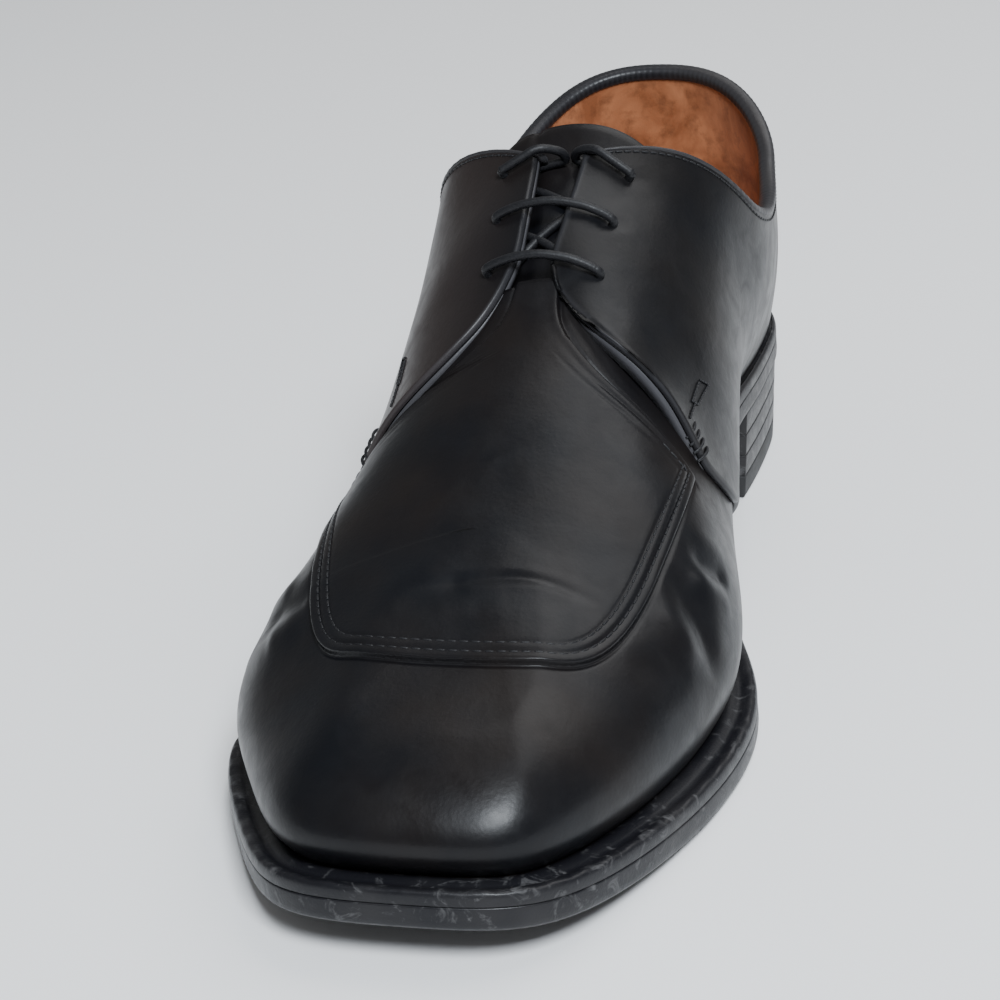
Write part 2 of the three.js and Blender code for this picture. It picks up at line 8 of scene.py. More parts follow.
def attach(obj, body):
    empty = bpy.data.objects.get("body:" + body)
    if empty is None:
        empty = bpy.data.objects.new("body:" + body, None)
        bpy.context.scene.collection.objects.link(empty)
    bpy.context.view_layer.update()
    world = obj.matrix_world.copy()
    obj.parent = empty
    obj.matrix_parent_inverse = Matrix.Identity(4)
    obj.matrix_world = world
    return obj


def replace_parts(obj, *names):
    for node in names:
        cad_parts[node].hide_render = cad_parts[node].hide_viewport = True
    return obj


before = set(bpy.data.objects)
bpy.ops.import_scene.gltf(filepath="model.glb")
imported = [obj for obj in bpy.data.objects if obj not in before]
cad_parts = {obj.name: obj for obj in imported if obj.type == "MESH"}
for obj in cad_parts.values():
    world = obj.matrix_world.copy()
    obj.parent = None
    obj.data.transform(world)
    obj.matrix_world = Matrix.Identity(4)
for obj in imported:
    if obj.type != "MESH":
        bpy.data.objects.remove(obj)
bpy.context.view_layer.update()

# Camera, as fitted to the photograph
EYE = Vector((0.57707, 0.14645, 0.30077))
AIM = Vector((-0.87904, -0.24361, -0.40982))
ROLL = math.radians(-4.82)
LENS = 97.2


def make_camera():
    across = AIM.cross(Vector((0, 0, 1))).normalized()
    over = across.cross(AIM).normalized()
    right = across * math.cos(ROLL) + over * math.sin(ROLL)
    top = over * math.cos(ROLL) - across * math.sin(ROLL)
    data = bpy.data.cameras.new("camera")
    data.lens = LENS
    data.sensor_width = 36
    data.clip_start = 0.01
    data.clip_end = 50
    camera = bpy.data.objects.new("camera", data)
    turned = Matrix((right, top, -AIM)).transposed().to_4x4()
    camera.matrix_world = Matrix.Translation(EYE) @ turned
    bpy.context.scene.collection.objects.link(camera)
    bpy.context.scene.camera = camera


make_camera()

# The shoe's own sizes, millimetres: x from the heel's back to the toe, y to the inner side, z up
LENGTH = 303
BALL_WIDTH = 114
WAIST_WIDTH = 66
HEEL_WIDTH = 70
HEEL_HEIGHT = 24
TOE_SPRING = 9
OUTSOLE = 5.5
WELT = 3.2
WELT_AT_TOE = 8
WELT_AT_HEEL = 3.6
TOP_PIECE = 6
HEEL_TAPER = 1.4
WALL = 1.8
QUARTER_STEP = 1.6
APRON_STEP = 1.3
INSTEP_BULGE = 12
INSTEP_RISE = 87
TOE_RISE = 17
BACK_RISE = 65
ANKLE_RISE = 46
FACING_GAP = 11.5
FACING_LIFT = {1: 4.6, -1: 1.8}
APRON_WIDTH = 80
TONGUE_WIDTH = 68
TONGUE = 2
LACE = 2.2
CLEAR = 0.3
HEEL_SIDE = 0.14
BALL_SIDE = {1: 0.7, -1: 0.77}
BREAST = 0.255
FACING_TOP = 0.405
THROAT = 0.525
APRON_BACK = 0.53
APRON_FRONT = 0.853
TONGUE_TOP = 0.37
APRON_POWER = 4.2
LOWER = 0.22
# How far the middle line is rounded over, as a share of the half-width
SOFT_RIDGE = 0.16
# Depth over which the front of the toe is rounded, and the share of the toe over which it comes in
TOE_SHOULDER = 23
TOE_BLEND = 0.75


def columns(names, *rows):
    return {name: np.array([row[i] for row in rows], float) for i, name in enumerate(names)}


EYELETS = columns(
    ("along", "aside"),
    (0.414, 14.55), (0.464, 13.47), (0.512, 12.64),
)
SOLE = columns(
    ("forward", "to_heel", "to_ball", "inner"),
    (0.0, 1.0, 0.0, 0.5), (0.185, 0.5, 0.0, 0.49), (0.37, 0.0, 0.0, 0.46), (0.52, 0.0, 0.13, 0.46),
    (0.69, 0.0, 0.48, 0.47), (0.86, 0.0, 0.86, 0.478), (1.0, 0.0, 1.0, 0.477),
)
ARCH = columns(
    ("along", "up"),
    (0.265, 1.0), (0.34, 0.8), (0.42, 0.47), (0.5, 0.17), (0.56, 0.03), (0.6, 0.0),
)
RIBS = columns(
    ("round", "welt", "inner", "outer", "widest", "broad", "steep"),
    (0.0, 0.0, 0.14, 0.14, 0.28, 2.2, 2.0), (0.09, 0.0, 0.16, 0.16, 0.3, 2.2, 2.0),
    (0.18, 0.0, 0.36, 0.36, 0.38, 2.3, 2.0), (0.27, 0.1, 0.85, 0.75, 0.46, 2.5, 2.0),
    (0.36, 0.3, 1.0, 0.8, 0.42, 2.35, 1.95), (0.45, 0.55, 0.9, 0.65, 0.32, 1.95, 1.75),
    (0.54, 0.85, 0.6, 0.45, 0.21, 1.8, 1.6), (0.61, 0.95, 0.44, 0.42, 0.17, 2.0, 1.65),
    (0.66, 1.0, 0.38, 0.36, 0.15, 2.15, 1.72), (0.75, 1.0, 0.36, 0.38, 0.125, 2.25, 1.8),
    (0.85, 1.05, 0.33, 0.33, 0.09, 2.3, 1.8), (1.0, 1.1, 0.3, 0.3, 0.08, 2.3, 1.8),
)
RIDGE = columns(
    ("along", "up"),
    (0.0, 1.43), (0.14, 1.57), (0.25, 1.43), (0.3, 1.25), (0.36, 1.09), (0.41, 1.0), (0.47, 0.97),
    (0.52, 0.9), (0.58, 0.77), (0.65, 0.62), (0.735, 0.44), (0.8, 0.335), (0.85, 0.243), (0.9, 0.157),
    (0.95, 0.07), (1.0, 0.0),
)
# Front edges of the quarters in plan, from the top of the facings to the knobs
FACING_EDGE = {
    1: columns(
        ("along", "aside"),
        (0.405, 7.6), (0.44, 6.7), (0.48, 5.8), (0.5, 5.1), (0.516, 5.0), (0.53, 6.5), (0.541, 9.4),
        (0.553, 13.9), (0.5625, 19.5), (0.569, 25.3), (0.5725, 31), (0.574, 35), (0.573, 38.5),
    ),
    -1: columns(
        ("along", "aside"),
        (0.405, 7.6), (0.44, 7.0), (0.48, 6.4), (0.5, 6.4), (0.515, 7.2), (0.535, 9.4), (0.553, 12.9),
        (0.568, 18), (0.578, 23), (0.583, 28), (0.583, 33), (0.58, 38), (0.577, 42),
    ),
}
APRON_EDGE = columns(
    ("forward", "inner", "outer"),
    (0.0, 0.92, 1.1), (0.3, 0.95, 1.11), (0.6, 0.94, 1.04), (1.0, 0.92, 1.0),
)


def smooth(table, key, column):
    """A smooth curve through one column of a table, level at both ends."""
    at, value = table[key], table[column]
    count = len(at)
    step = np.diff(at)
    rise = np.diff(value) / step
    rows = np.zeros((count, count))
    right = np.zeros(count)
    for i in range(count):
        before = step[i - 1] if i else 0.0
        after = step[i] if i < count - 1 else 0.0
        rows[i, i] = 2 * (before + after)
        if i:
            rows[i, i - 1] = before
            right[i] -= 6 * rise[i - 1]
        if i < count - 1:
            rows[i, i + 1] = after
            right[i] += 6 * rise[i]
    turn = np.linalg.solve(rows, right)

    def curve(place):
        p = np.clip(place, at[0], at[-1])
        i = np.clip(np.searchsorted(at, p, side="right") - 1, 0, count - 2)
        b = (p - at[i]) / step[i]
        a = 1 - b
        bend = (a**3 - a) * turn[i] + (b**3 - b) * turn[i + 1]
        return a * value[i] + b * value[i + 1] + bend * step[i] ** 2 / 6

    return curve


def mix(a, b, share):
    return a + (b - a) * share


def ease(share):
    s = np.clip(share, 0, 1)
    return s * s * (3 - 2 * s)


heel_x = HEEL_SIDE * LENGTH
ball_x = LENGTH * (BALL_SIDE[1] + BALL_SIDE[-1]) / 2
heel_arc = math.pi / 2 * heel_x
toe_arc = math.pi / 2 * (LENGTH - ball_x)
perimeter = heel_arc + ball_x - heel_x + toe_arc
seat_forward = (ARCH["along"][0] * LENGTH - heel_x) / (ball_x - heel_x)
heel_round = heel_arc / perimeter
ball_round = 1 - toe_arc / perimeter


def round_at(along):
    return mix(heel_round, ball_round, (along * LENGTH - heel_x) / (ball_x - heel_x))


to_heel = smooth(SOLE, "forward", "to_heel")
to_ball = smooth(SOLE, "forward", "to_ball")
inner_share = smooth(SOLE, "forward", "inner")


def half_width(forward, side):
    width = WAIST_WIDTH + to_heel(forward) * (HEEL_WIDTH - WAIST_WIDTH)
    width = width + to_ball(forward) * (BALL_WIDTH - WAIST_WIDTH)
    share = inner_share(forward)
    return width * np.where(side > 0, share, 1 - share)


def place(around):
    u = np.mod(around, 2)
    return np.where(u <= 1, u, 2 - u), np.where(u <= 1, 1, -1)


def sole_edge(around):
    """The sole's edge in plan, at a place round it: 0 heel back, 1 toe tip, back to 2 by the outer side."""
    u, side = place(np.asarray(around, float))
    angle = math.pi / 2 * np.clip(u / heel_round, 0, 1)
    x = heel_x * (1 - np.abs(np.cos(angle)) ** (2 / 2.2))
    y = half_width(0.0, side) * np.sin(angle) ** (2 / 2.2)
    ball = LENGTH * np.where(side > 0, BALL_SIDE[1], BALL_SIDE[-1])
    forward = (u - heel_round) / (ball_round - heel_round)
    slant = np.clip((forward - seat_forward) / (1 - seat_forward), 0, None) ** 2
    middle = (u >= heel_round) & (u <= ball_round)
    x = np.where(middle, mix(heel_x, ball_x, forward) + (ball - ball_x) * slant, x)
    y = np.where(middle, half_width(np.clip(forward, 0, 1), side), y)
    angle = math.pi / 2 * np.clip((u - ball_round) / (1 - ball_round), 0, 1)
    at_side = np.where(side > 0, 1.75, 1.55)
    tip = np.where(side > 0, 2.75, 2.7)
    power = mix(at_side, tip, np.sin(angle) ** 4)
    toe = u > ball_round
    x = np.where(toe, ball + (LENGTH - ball) * np.sin(angle) ** (2 / power), x)
    y = np.where(toe, half_width(1.0, side) * np.abs(np.cos(angle)) ** (2 / power), y)
    return np.stack([x, side * y], -1)


def inset(around, amount):
    tiny = 0.002
    here = sole_edge(around)
    run = sole_edge(around + tiny) - sole_edge(around - tiny)
    run /= np.linalg.norm(run, axis=-1, keepdims=True)
    amount = np.asarray(amount, float)
    return np.stack([here[..., 0] + run[..., 1] * amount, here[..., 1] - run[..., 0] * amount], -1)


arch_up = smooth(ARCH, "along", "up")
SPRING_START = 0.74 * LENGTH


def underside(x):
    spring = TOE_SPRING * (np.clip(x - SPRING_START, 0, None) / (LENGTH - SPRING_START)) ** 2
    return np.where(x > SPRING_START, spring, HEEL_HEIGHT * arch_up(x / LENGTH))


def outsole_top(x):
    return underside(x) + OUTSOLE


def welt_bottom(x):
    return outsole_top(x) + CLEAR


def feather(x):
    return welt_bottom(x) + WELT + CLEAR


RIB = {name: smooth(RIBS, "round", name) for name in RIBS if name != "round"}
ridge_up = smooth(RIDGE, "along", "up")


def ridge(x):
    return feather(x) + mix(TOE_RISE, INSTEP_RISE, ridge_up(x / LENGTH))


def welt_width(around):
    return mix(WELT_AT_HEEL, WELT_AT_TOE, RIB["welt"](place(around)[0]))


def axis_x(u):
    return mix(heel_x, ball_x, np.clip((u - heel_round) / (ball_round - heel_round), 0, 1))


def bulge(u, side):
    return INSTEP_BULGE * np.where(side > 0, RIB["inner"](u), RIB["outer"](u))


def last(around, up):
    """A point on the outside of the vamp: up 0 at the feather line, 1 on the ridge."""
    around, up = np.broadcast_arrays(np.asarray(around, float), np.asarray(up, float))
    u, side = place(around)
    welt = welt_width(around)
    foot = inset(around, welt)
    wide = inset(around, welt - bulge(u, side))
    low = feather(foot[..., 0])
    high = low + INSTEP_RISE * RIB["widest"](u)
    q = np.clip(up / LOWER, 0, 1)
    out = 1 - (1 - q) ** 2
    x1 = mix(foot[..., 0], wide[..., 0], out)
    y1 = mix(foot[..., 1], wide[..., 1], out)
    z1 = mix(low, high, q)
    angle = math.pi / 2 * np.clip((up - LOWER) / (1 - LOWER), 0, 1)
    broad = RIB["broad"](u)
    reach = np.abs(np.cos(angle)) ** (2 / broad)
    reach = np.where(up >= 1, 0, reach)
    x2 = mix(axis_x(u), wide[..., 0], reach)
    y2 = wide[..., 1] * reach
    level = SOFT_RIDGE**broad
    whole = (1 + SOFT_RIDGE**2) ** (broad / 2) - level
    sunk = ((reach**2 + SOFT_RIDGE**2) ** (broad / 2) - level) / whole
    crown = np.clip(1 - sunk, 0, 1) ** (1 / RIB["steep"](u))
    at_toe = ease((u - ball_round) / (TOE_BLEND * (1 - ball_round)))
    across = np.hypot(wide[..., 0] - axis_x(u), wide[..., 1])
    shoulder = np.clip((1 - reach) * across / mix(across, TOE_SHOULDER, at_toe), 0, 1)
    crown = mix(crown, np.sqrt(1 - (1 - shoulder) ** 2), at_toe)
    z2 = mix(high, ridge(x2), crown)
    lower = up < LOWER
    return np.stack([np.where(lower, x1, x2), np.where(lower, y1, y2), np.where(lower, z1, z2)], -1)


def unit(v):
    return v / np.maximum(np.linalg.norm(v, axis=-1, keepdims=True), 1e-12)


def run_along(line):
    """Distances along a line of points from its first one."""
    return np.concatenate([[0], np.cumsum(np.linalg.norm(np.diff(line, axis=0), axis=1))])


def rise_at(arounds, ups):
    """Millimetres up a rib for one whole share of it, just under some places."""
    tiny = 0.01
    return np.linalg.norm(last(arounds, ups) - last(arounds, ups - tiny), axis=-1) / tiny


def normal(around, up):
    around, up = np.broadcast_arrays(np.asarray(around, float), np.asarray(up, float))
    tiny = 0.004
    high = np.minimum(up, 1 - tiny)
    low = np.maximum(high - tiny, 0)
    across = last(around + tiny, high) - last(around - tiny, high)
    rising = last(around, high + tiny) - last(around, low)
    out = unit(np.cross(rising, across))
    u, _ = place(around)
    out[..., 1] = np.where((u < tiny / 2) | (u > 1 - tiny / 2), 0, out[..., 1])
    x = last(around, np.ones_like(up))[..., 0]
    crest = unit(np.stack([ridge(x - 1) - ridge(x + 1), 0 * x, 2 + 0 * x], -1))
    share = ease((up - 0.97) / 0.03)[..., None]
    return unit(mix(unit(out), crest, share))


def skin(around, up, height):
    """A point over or under the last, never lower than the feather line."""
    point = last(around, up) + normal(around, up) * np.asarray(height, float)[..., None]
    point[..., 2] = np.maximum(point[..., 2], feather(point[..., 0]))
    return point


HALVINGS = 36


def up_where(around, reached):
    low = np.full(np.shape(around), LOWER)
    high = np.ones(np.shape(around))
    for _ in range(HALVINGS):
        middle = (low + high) / 2
        hit = reached(last(around, middle))
        high = np.where(hit, middle, high)
        low = np.where(hit, low, middle)
    return (low + high) / 2


def place_over(x, y):
    """The place on the last under plan positions; each rib is straight in plan."""
    x, y = np.broadcast_arrays(np.asarray(x, float), np.asarray(y, float))
    side = np.where(y < 0, -1, 1)

    def rib(u):
        wide = inset(side * u, welt_width(u) - bulge(u, side))
        return axis_x(u), wide[..., 0], np.abs(wide[..., 1])

    low = np.zeros(x.shape)
    high = np.ones(x.shape)
    for _ in range(HALVINGS):
        u = (low + high) / 2
        axis, wide_x, wide_y = rib(u)
        before = (x - axis) * wide_y - (wide_x - axis) * np.abs(y) > 0
        low = np.where(before, u, low)
        high = np.where(before, high, u)
    u = (low + high) / 2
    axis, wide_x, wide_y = rib(u)
    whole = (wide_x - axis) ** 2 + wide_y**2
    reach = np.clip(((x - axis) * (wide_x - axis) + np.abs(y) * wide_y) / whole, 0, 1)
    angle = np.arccos(reach ** (RIB["broad"](u) / 2))
    return side * u, LOWER + (1 - LOWER) * angle / (math.pi / 2)


def over(x, y, height):
    x, y, height = np.broadcast_arrays(*(np.asarray(v, float) for v in (x, y, height)))
    around, up = place_over(x, y)
    return skin(around, up, height)


# The top edge
TOP = columns(
    ("round", "to_back", "to_facing"),
    (0.0, 1.0, 0.0), (0.09, 0.8, 0.0), (0.18, 0.2, 0.0), (0.25, 0.0, 0.02), (0.31, 0.0, 0.24),
    (float(round_at(FACING_TOP)), 0.0, 1.0),
)
top_round = round_at(FACING_TOP)
to_back = smooth({name: column[:-1] for name, column in TOP.items()}, "round", "to_back")
to_facing = smooth(TOP, "round", "to_facing")


def facing_top_up(around):
    return up_where(around, lambda p: np.abs(p[..., 1]) < FACING_GAP / 2)


def top_up(around):
    u, side = place(around)
    ends = side * top_round
    facing = last(ends, facing_top_up(ends))[..., 2] - feather(FACING_TOP * LENGTH)
    rise = mix(mix(ANKLE_RISE, BACK_RISE, to_back(u)), facing, to_facing(u))
    high = feather(inset(around, 0.0)[..., 0]) + rise
    return np.where(u >= top_round, facing_top_up(around), up_where(around, lambda p: p[..., 2] > high))


# Meshes
ASIDE = float(half_width(1.0, -1) - half_width(1.0, 1)) / 2


def to_row(points):
    p = np.asarray(points, float).reshape(-1, 3)
    return (p + np.array([-LENGTH / 2, ASIDE, 0.0])) / 1000


def grid_faces(rows, wide, start=0, flip=False):
    faces = []
    for i in range(rows - 1):
        for j in range(wide - 1):
            a = start + i * wide + j
            b = a + wide
            face = (a, b, b + 1, a + 1)
            faces.append(face[::-1] if flip else face)
    return faces


def ring_faces(rings, sides):
    """Faces between rings of points, one ring after another."""
    faces = []
    for i in range(rings - 1):
        for j in range(sides):
            k = (j + 1) % sides
            faces.append((i * sides + j, i * sides + k, (i + 1) * sides + k, (i + 1) * sides + j))
    return faces


def turn_outward(data):
    mesh = bmesh.new()
    mesh.from_mesh(data)
    bmesh.ops.recalc_face_normals(mesh, faces=mesh.faces)
    mesh.to_mesh(data)
    mesh.free()


def add_piece(name, points, faces, materials, indices=None):
    data = bpy.data.meshes.new(name)
    data.from_pydata([tuple(p) for p in to_row(points)], [], [tuple(f) for f in faces])
    data.update()
    data.polygons.foreach_set("use_smooth", [True] * len(data.polygons))
    for material in materials:
        data.materials.append(material)
    if indices is not None:
        data.polygons.foreach_set("material_index", indices)
    data.validate()
    turn_outward(data)
    piece = bpy.data.objects.new(name, data)
    bpy.context.scene.collection.objects.link(piece)
    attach(piece, "root")
    return piece


def shell_piece(name, outer, inner, materials, inner_index=0, top_rim=True):
    """A closed sheet between two grids of points; without a top rim, two halves are joined there."""
    rows, wide = outer.shape[:2]
    count = rows * wide
    faces = grid_faces(rows, wide, flip=True)
    indices = [0] * len(faces)
    inside = grid_faces(rows, wide, start=count)
    faces += inside
    indices += [inner_index] * len(inside)
    ring = [(0, j) for j in range(wide - 1)] + [(i, wide - 1) for i in range(rows - 1)]
    ring += [(rows - 1, j) for j in range(wide - 1, 0, -1)] + [(i, 0) for i in range(rows - 1, 0, -1)]
    for (i, j), (m, n) in zip(ring, ring[1:] + ring[:1]):
        if j == n == wide - 1 and not top_rim:
            continue
        a, b = i * wide + j, m * wide + n
        faces.append((a, b, b + count, a + count))
        indices.append(0)
    points = np.concatenate([outer.reshape(-1, 3), inner.reshape(-1, 3)])
    piece = add_piece(name, points, faces, materials, indices=indices)
    if not top_rim:
        weld(piece)
    return piece


def weld(piece, within=2e-6):
    """Joins points that lie together, such as those of two halves on the middle line."""
    mesh = bmesh.new()
    mesh.from_mesh(piece.data)
    bmesh.ops.remove_doubles(mesh, verts=mesh.verts, dist=within)
    mesh.to_mesh(piece.data)
    mesh.free()


def tube_mesh(path, radius, sides=16, wobble=None):
    """Rings round a path, with round ends; wobble(angle, run) changes the radius."""
    path = np.asarray(path, float)
    run = run_along(path)
    along = unit(np.gradient(path, axis=0))
    side = np.zeros_like(path)
    start = np.cross(along[0], [0, 0, 1.0])
    if np.linalg.norm(start) < 0.1:
        start = np.cross(along[0], [0, 1.0, 0])
    side[0] = unit(start)
    for i in range(1, len(path)):
        s = side[i - 1] - along[i] * (side[i - 1] @ along[i])
        side[i] = unit(s)
    other = np.cross(along, side)
    angle = np.linspace(0, 2 * math.pi, sides, endpoint=False)
    r = np.full((len(path), sides), float(radius))
    if wobble is not None:
        r = r + wobble(angle[None, :], run[:, None])
    rings = path[:, None] + r[..., None] * (
        np.cos(angle)[None, :, None] * side[:, None] + np.sin(angle)[None, :, None] * other[:, None]
    )
    points = [*rings.reshape(-1, 3)]
    faces = ring_faces(len(path), sides)
    points += [path[0] - along[0] * radius * 0.5, path[-1] + along[-1] * radius * 0.5]
    first, end = len(points) - 2, len(points) - 1
    for j in range(sides):
        k = (j + 1) % sides
        faces.append((first, k, j))
        faces.append((end, (len(path) - 1) * sides + j, (len(path) - 1) * sides + k))
    return np.array(points), faces


def joined(parts):
    points, faces = [], []
    for p, f in parts:
        base = sum(len(q) for q in points)
        points.append(p)
        faces += [tuple(base + i for i in face) for face in f]
    return np.concatenate(points), faces


def add_joined(name, parts, material):
    points, faces = joined(parts)
    return add_piece(name, points, faces, [material])


def spline(points, per=8):
    """A Catmull-Rom curve through points."""
    p = np.asarray(points, float)
    p = np.concatenate([[2 * p[0] - p[1]], p, [2 * p[-1] - p[-2]]])
    t = np.linspace(0, 1, per, endpoint=False)[:, None]
    out = []
    for i in range(1, len(p) - 2):
        a, b, c, d = p[i - 1 : i + 3]
        bend = (2 * a - 5 * b + 4 * c - d) * t**2
        out.append(0.5 * (2 * b + (c - a) * t + bend + (3 * b - a - 3 * c + d) * t**3))
    return np.concatenate([*out, p[-2:-1]])


# Seam of the apron: its own outline, and a tail that runs on under the facings
SEAM_TAIL = columns(
    ("along", "share"),
    (0.5, 0.1), (0.53, 0.13), (0.561, 0.21), (0.578, 0.38), (0.588, 0.57), (0.595, 0.82), (0.603, 1.0),
)
seam_tail = smooth(SEAM_TAIL, "along", "share")
apron_share = {1: smooth(APRON_EDGE, "forward", "inner"), -1: smooth(APRON_EDGE, "forward", "outer")}
apron_back = APRON_BACK * LENGTH
apron_front = APRON_FRONT * LENGTH


def seam_aside(x, side):
    forward = np.clip((x - apron_back) / (apron_front - apron_back), 0, 1)
    share = np.where(side > 0, apron_share[1](forward), apron_share[-1](forward))
    corner = (1 - forward**APRON_POWER) ** (1 / APRON_POWER)
    return np.where(x < apron_front, APRON_WIDTH / 2 * share * corner * seam_tail(x / LENGTH), 0)


def seam_plan():
    """The seam in plan from the outer tail round the front to the inner tail."""
    start = 0.61 * LENGTH
    tail = np.linspace(0.5 * LENGTH, start, 260)
    first = ((start - apron_back) / (apron_front - apron_back)) ** (APRON_POWER / 2)
    s = np.linspace(2 / math.pi * math.asin(first), 1, 420)[1:]
    x = np.concatenate([tail, mix(apron_back, apron_front, np.sin(s * math.pi / 2) ** (2 / APRON_POWER))])
    inner = np.stack([x, seam_aside(x, 1)], -1)
    outer = np.stack([x, -seam_aside(x, -1)], -1)
    return np.concatenate([outer[:-1], inner[::-1]])


def line_distance(points, line, with_share=False):
    """Distance from points to a line of short segments, and the share of the line where it is reached."""
    found = np.empty(len(points))
    shares = np.empty(len(points))
    for i in range(0, len(points), 3000):
        chunk = points[i : i + 3000]
        nearest = np.linalg.norm(chunk[:, None] - line[None], axis=2).argmin(1)
        best = np.full(len(chunk), np.inf)
        reached = np.zeros(len(chunk))
        for step in (-1, 0):
            k = np.clip(nearest + step, 0, len(line) - 2)
            a, run = line[k], line[k + 1] - line[k]
            share = np.clip(((chunk - a) * run).sum(1) / np.maximum((run * run).sum(1), 1e-9), 0, 1)
            away = np.linalg.norm(chunk - a - run * share[:, None], axis=1)
            reached = np.where(away < best, (k + share) / (len(line) - 1), reached)
            best = np.minimum(best, away)
        found[i : i + 3000] = best
        shares[i : i + 3000] = reached
    return (found, shares) if with_share else found


plan = seam_plan()
seam_line = over(plan[:, 0], plan[:, 1], 0)


def bell(distance, wide):
    return np.exp(-((distance / wide) ** 2))


# Marks across the apron's seam: height, distance inside the seam, half-width
SEAM_LIP = ((-0.35, -0.4, 0.55), (0.1, 1.2, 0.8))
SEAM_FURROWS = ((-0.22, 2.6, 0.5), (0.06, 3.8, 0.7), (-0.17, 5.1, 0.5))


def marks(distance, table):
    return sum(height * bell(distance - at, wide) for height, at, wide in table)


def seam_height(inside, faint):
    """The apron's lapped edge across its seam, with two furrows for stitches, fainter where asked."""
    height = 0.9 * APRON_STEP * ease((inside + 0.1) / 0.6) + 0.1 * APRON_STEP * ease(inside / 6)
    return height + marks(inside, SEAM_LIP) + marks(inside, SEAM_FURROWS) * (1 - faint)


# Creases of wear: points in plan, depth (negative is a ridge), half-width
CREASES = (
    (((239.5, -15), (236.6, 2), (235.8, 15), (237, 33)), 0.32, 1.2),
    (((245, -8), (242, -1), (238, 9)), -0.16, 3.5),
    (((246, -16), (241, -6), (238, 0)), 0.35, 3.5),
    (((250, -14), (247, 0), (246, 12)), -0.25, 4.5),
    (((228, -30), (225, -16), (224, -4)), 0.35, 6),
    (((212, -20), (208, 8)), 0.35, 9),
    (((214, 37), (218, 42), (222, 46), (229, 49)), 0.7, 3.2),
    (((207, 40), (203, 45), (199, 48)), 0.8, 3),
    (((226, 36), (229, 42), (234, 47)), -0.7, 4),
    (((211, 41), (210, 46), (206, 50)), -0.5, 4),
    (((246, 33), (241, 40), (233, 45), (228, 48)), 0.55, 3.4),
    (((231.5, -37), (231, -43), (230, -50)), 0.6, 3.6),
    (((239, -38), (240, -47)), -0.45, 5),
    (((222, -44), (219, -52)), -0.6, 5),
)


def creases(points):
    height = np.zeros(len(points))
    for route, depth, wide in CREASES:
        ends = np.array(route, float)
        line = spline(over(ends[:, 0], ends[:, 1], 0), 6)
        away, share = line_distance(points, line, True)
        taper = ease(share / 0.3) * ease((1 - share) / 0.3)
        height -= depth * taper * (bell(away, wide) - 0.3 * bell(away - 2.3 * wide, wide))
    return height


def waves(points, height, size, seed):
    """Slow unevenness of hand-lasted leather, about as high either way as is asked."""
    random = np.random.default_rng(seed)
    total = np.zeros(len(points))
    for _ in range(7):
        way = unit(random.normal(size=3)) * 2 * math.pi / (size * random.uniform(0.7, 1.5))
        total += np.sin(points @ way + random.uniform(0, 6.3))
    return height * total / 7**0.5


SEAM_NODES = np.array([
    -6, -4.6, -3.4, -2.5, -1.8, -1.3, -0.9, -0.6, -0.35, -0.15, 0, 0.12, 0.24, 0.38, 0.6, 0.85, 1.15, 1.5,
    1.85, 2.1, 2.3, 2.5, 2.7, 2.9, 3.2, 3.6, 4.0, 4.4, 4.7, 5.0, 5.3, 5.6, 6.0, 6.8, 8.0,
])


def rib_ups(around):
    """Places up one rib, close together at the seam."""
    ups = np.linspace(0, 1, 700)
    line = last(np.full(ups.shape, around), ups)
    run = run_along(line)
    side = 1 if around % 2 <= 1 else -1
    inside = (np.abs(line[:, 1]) < seam_aside(line[:, 0], side)) & (ups > LOWER)
    first = np.argmax(inside) if inside.any() else len(ups) - 9
    seam = np.clip(run[first], 14, run[-1] - 9)
    below = seam - 6 - (seam - 6) * np.linspace(1, 0, 44, endpoint=False)
    above = mix(seam + 8, run[-1], np.linspace(0, 1, 41)[1:])
    nodes = np.concatenate([below, seam + SEAM_NODES, above])
    return np.interp(nodes, run, ups)


# How far the vamp runs back under the quarters at its foot, as a share of the half round
UNDERLAP = 0.12
UNDERLAP_TOP = 0.42
# The seam's furrows are faint behind its tail's end, and in front of a place on the inner side
TAIL_END = 0.6 * LENGTH
FRONT_FADE = (246, -20)
FRONT_FAINT = 0.6
# Slow unevenness of the leather: height, size and seed
VAMP_WAVES = (0.22, 38, 3)
QUARTER_WAVES = (0.28, 46, 5)
TONGUE_WAVES = (0.3, 20, 9)


def vamp_height(points, inside, ups):
    """Height of the vamp over the last, at distances inside its seam."""
    lower = ease(ups / 0.12)
    tail = ease((TAIL_END - points[:, 0]) / 8)
    front = ease((points[:, 0] - FRONT_FADE[0]) / 8) * ease((points[:, 1] - FRONT_FADE[1]) / 12)
    uneven = creases(points) + waves(points, *VAMP_WAVES)
    return seam_height(inside, np.maximum(tail, FRONT_FAINT * front)) + uneven * lower


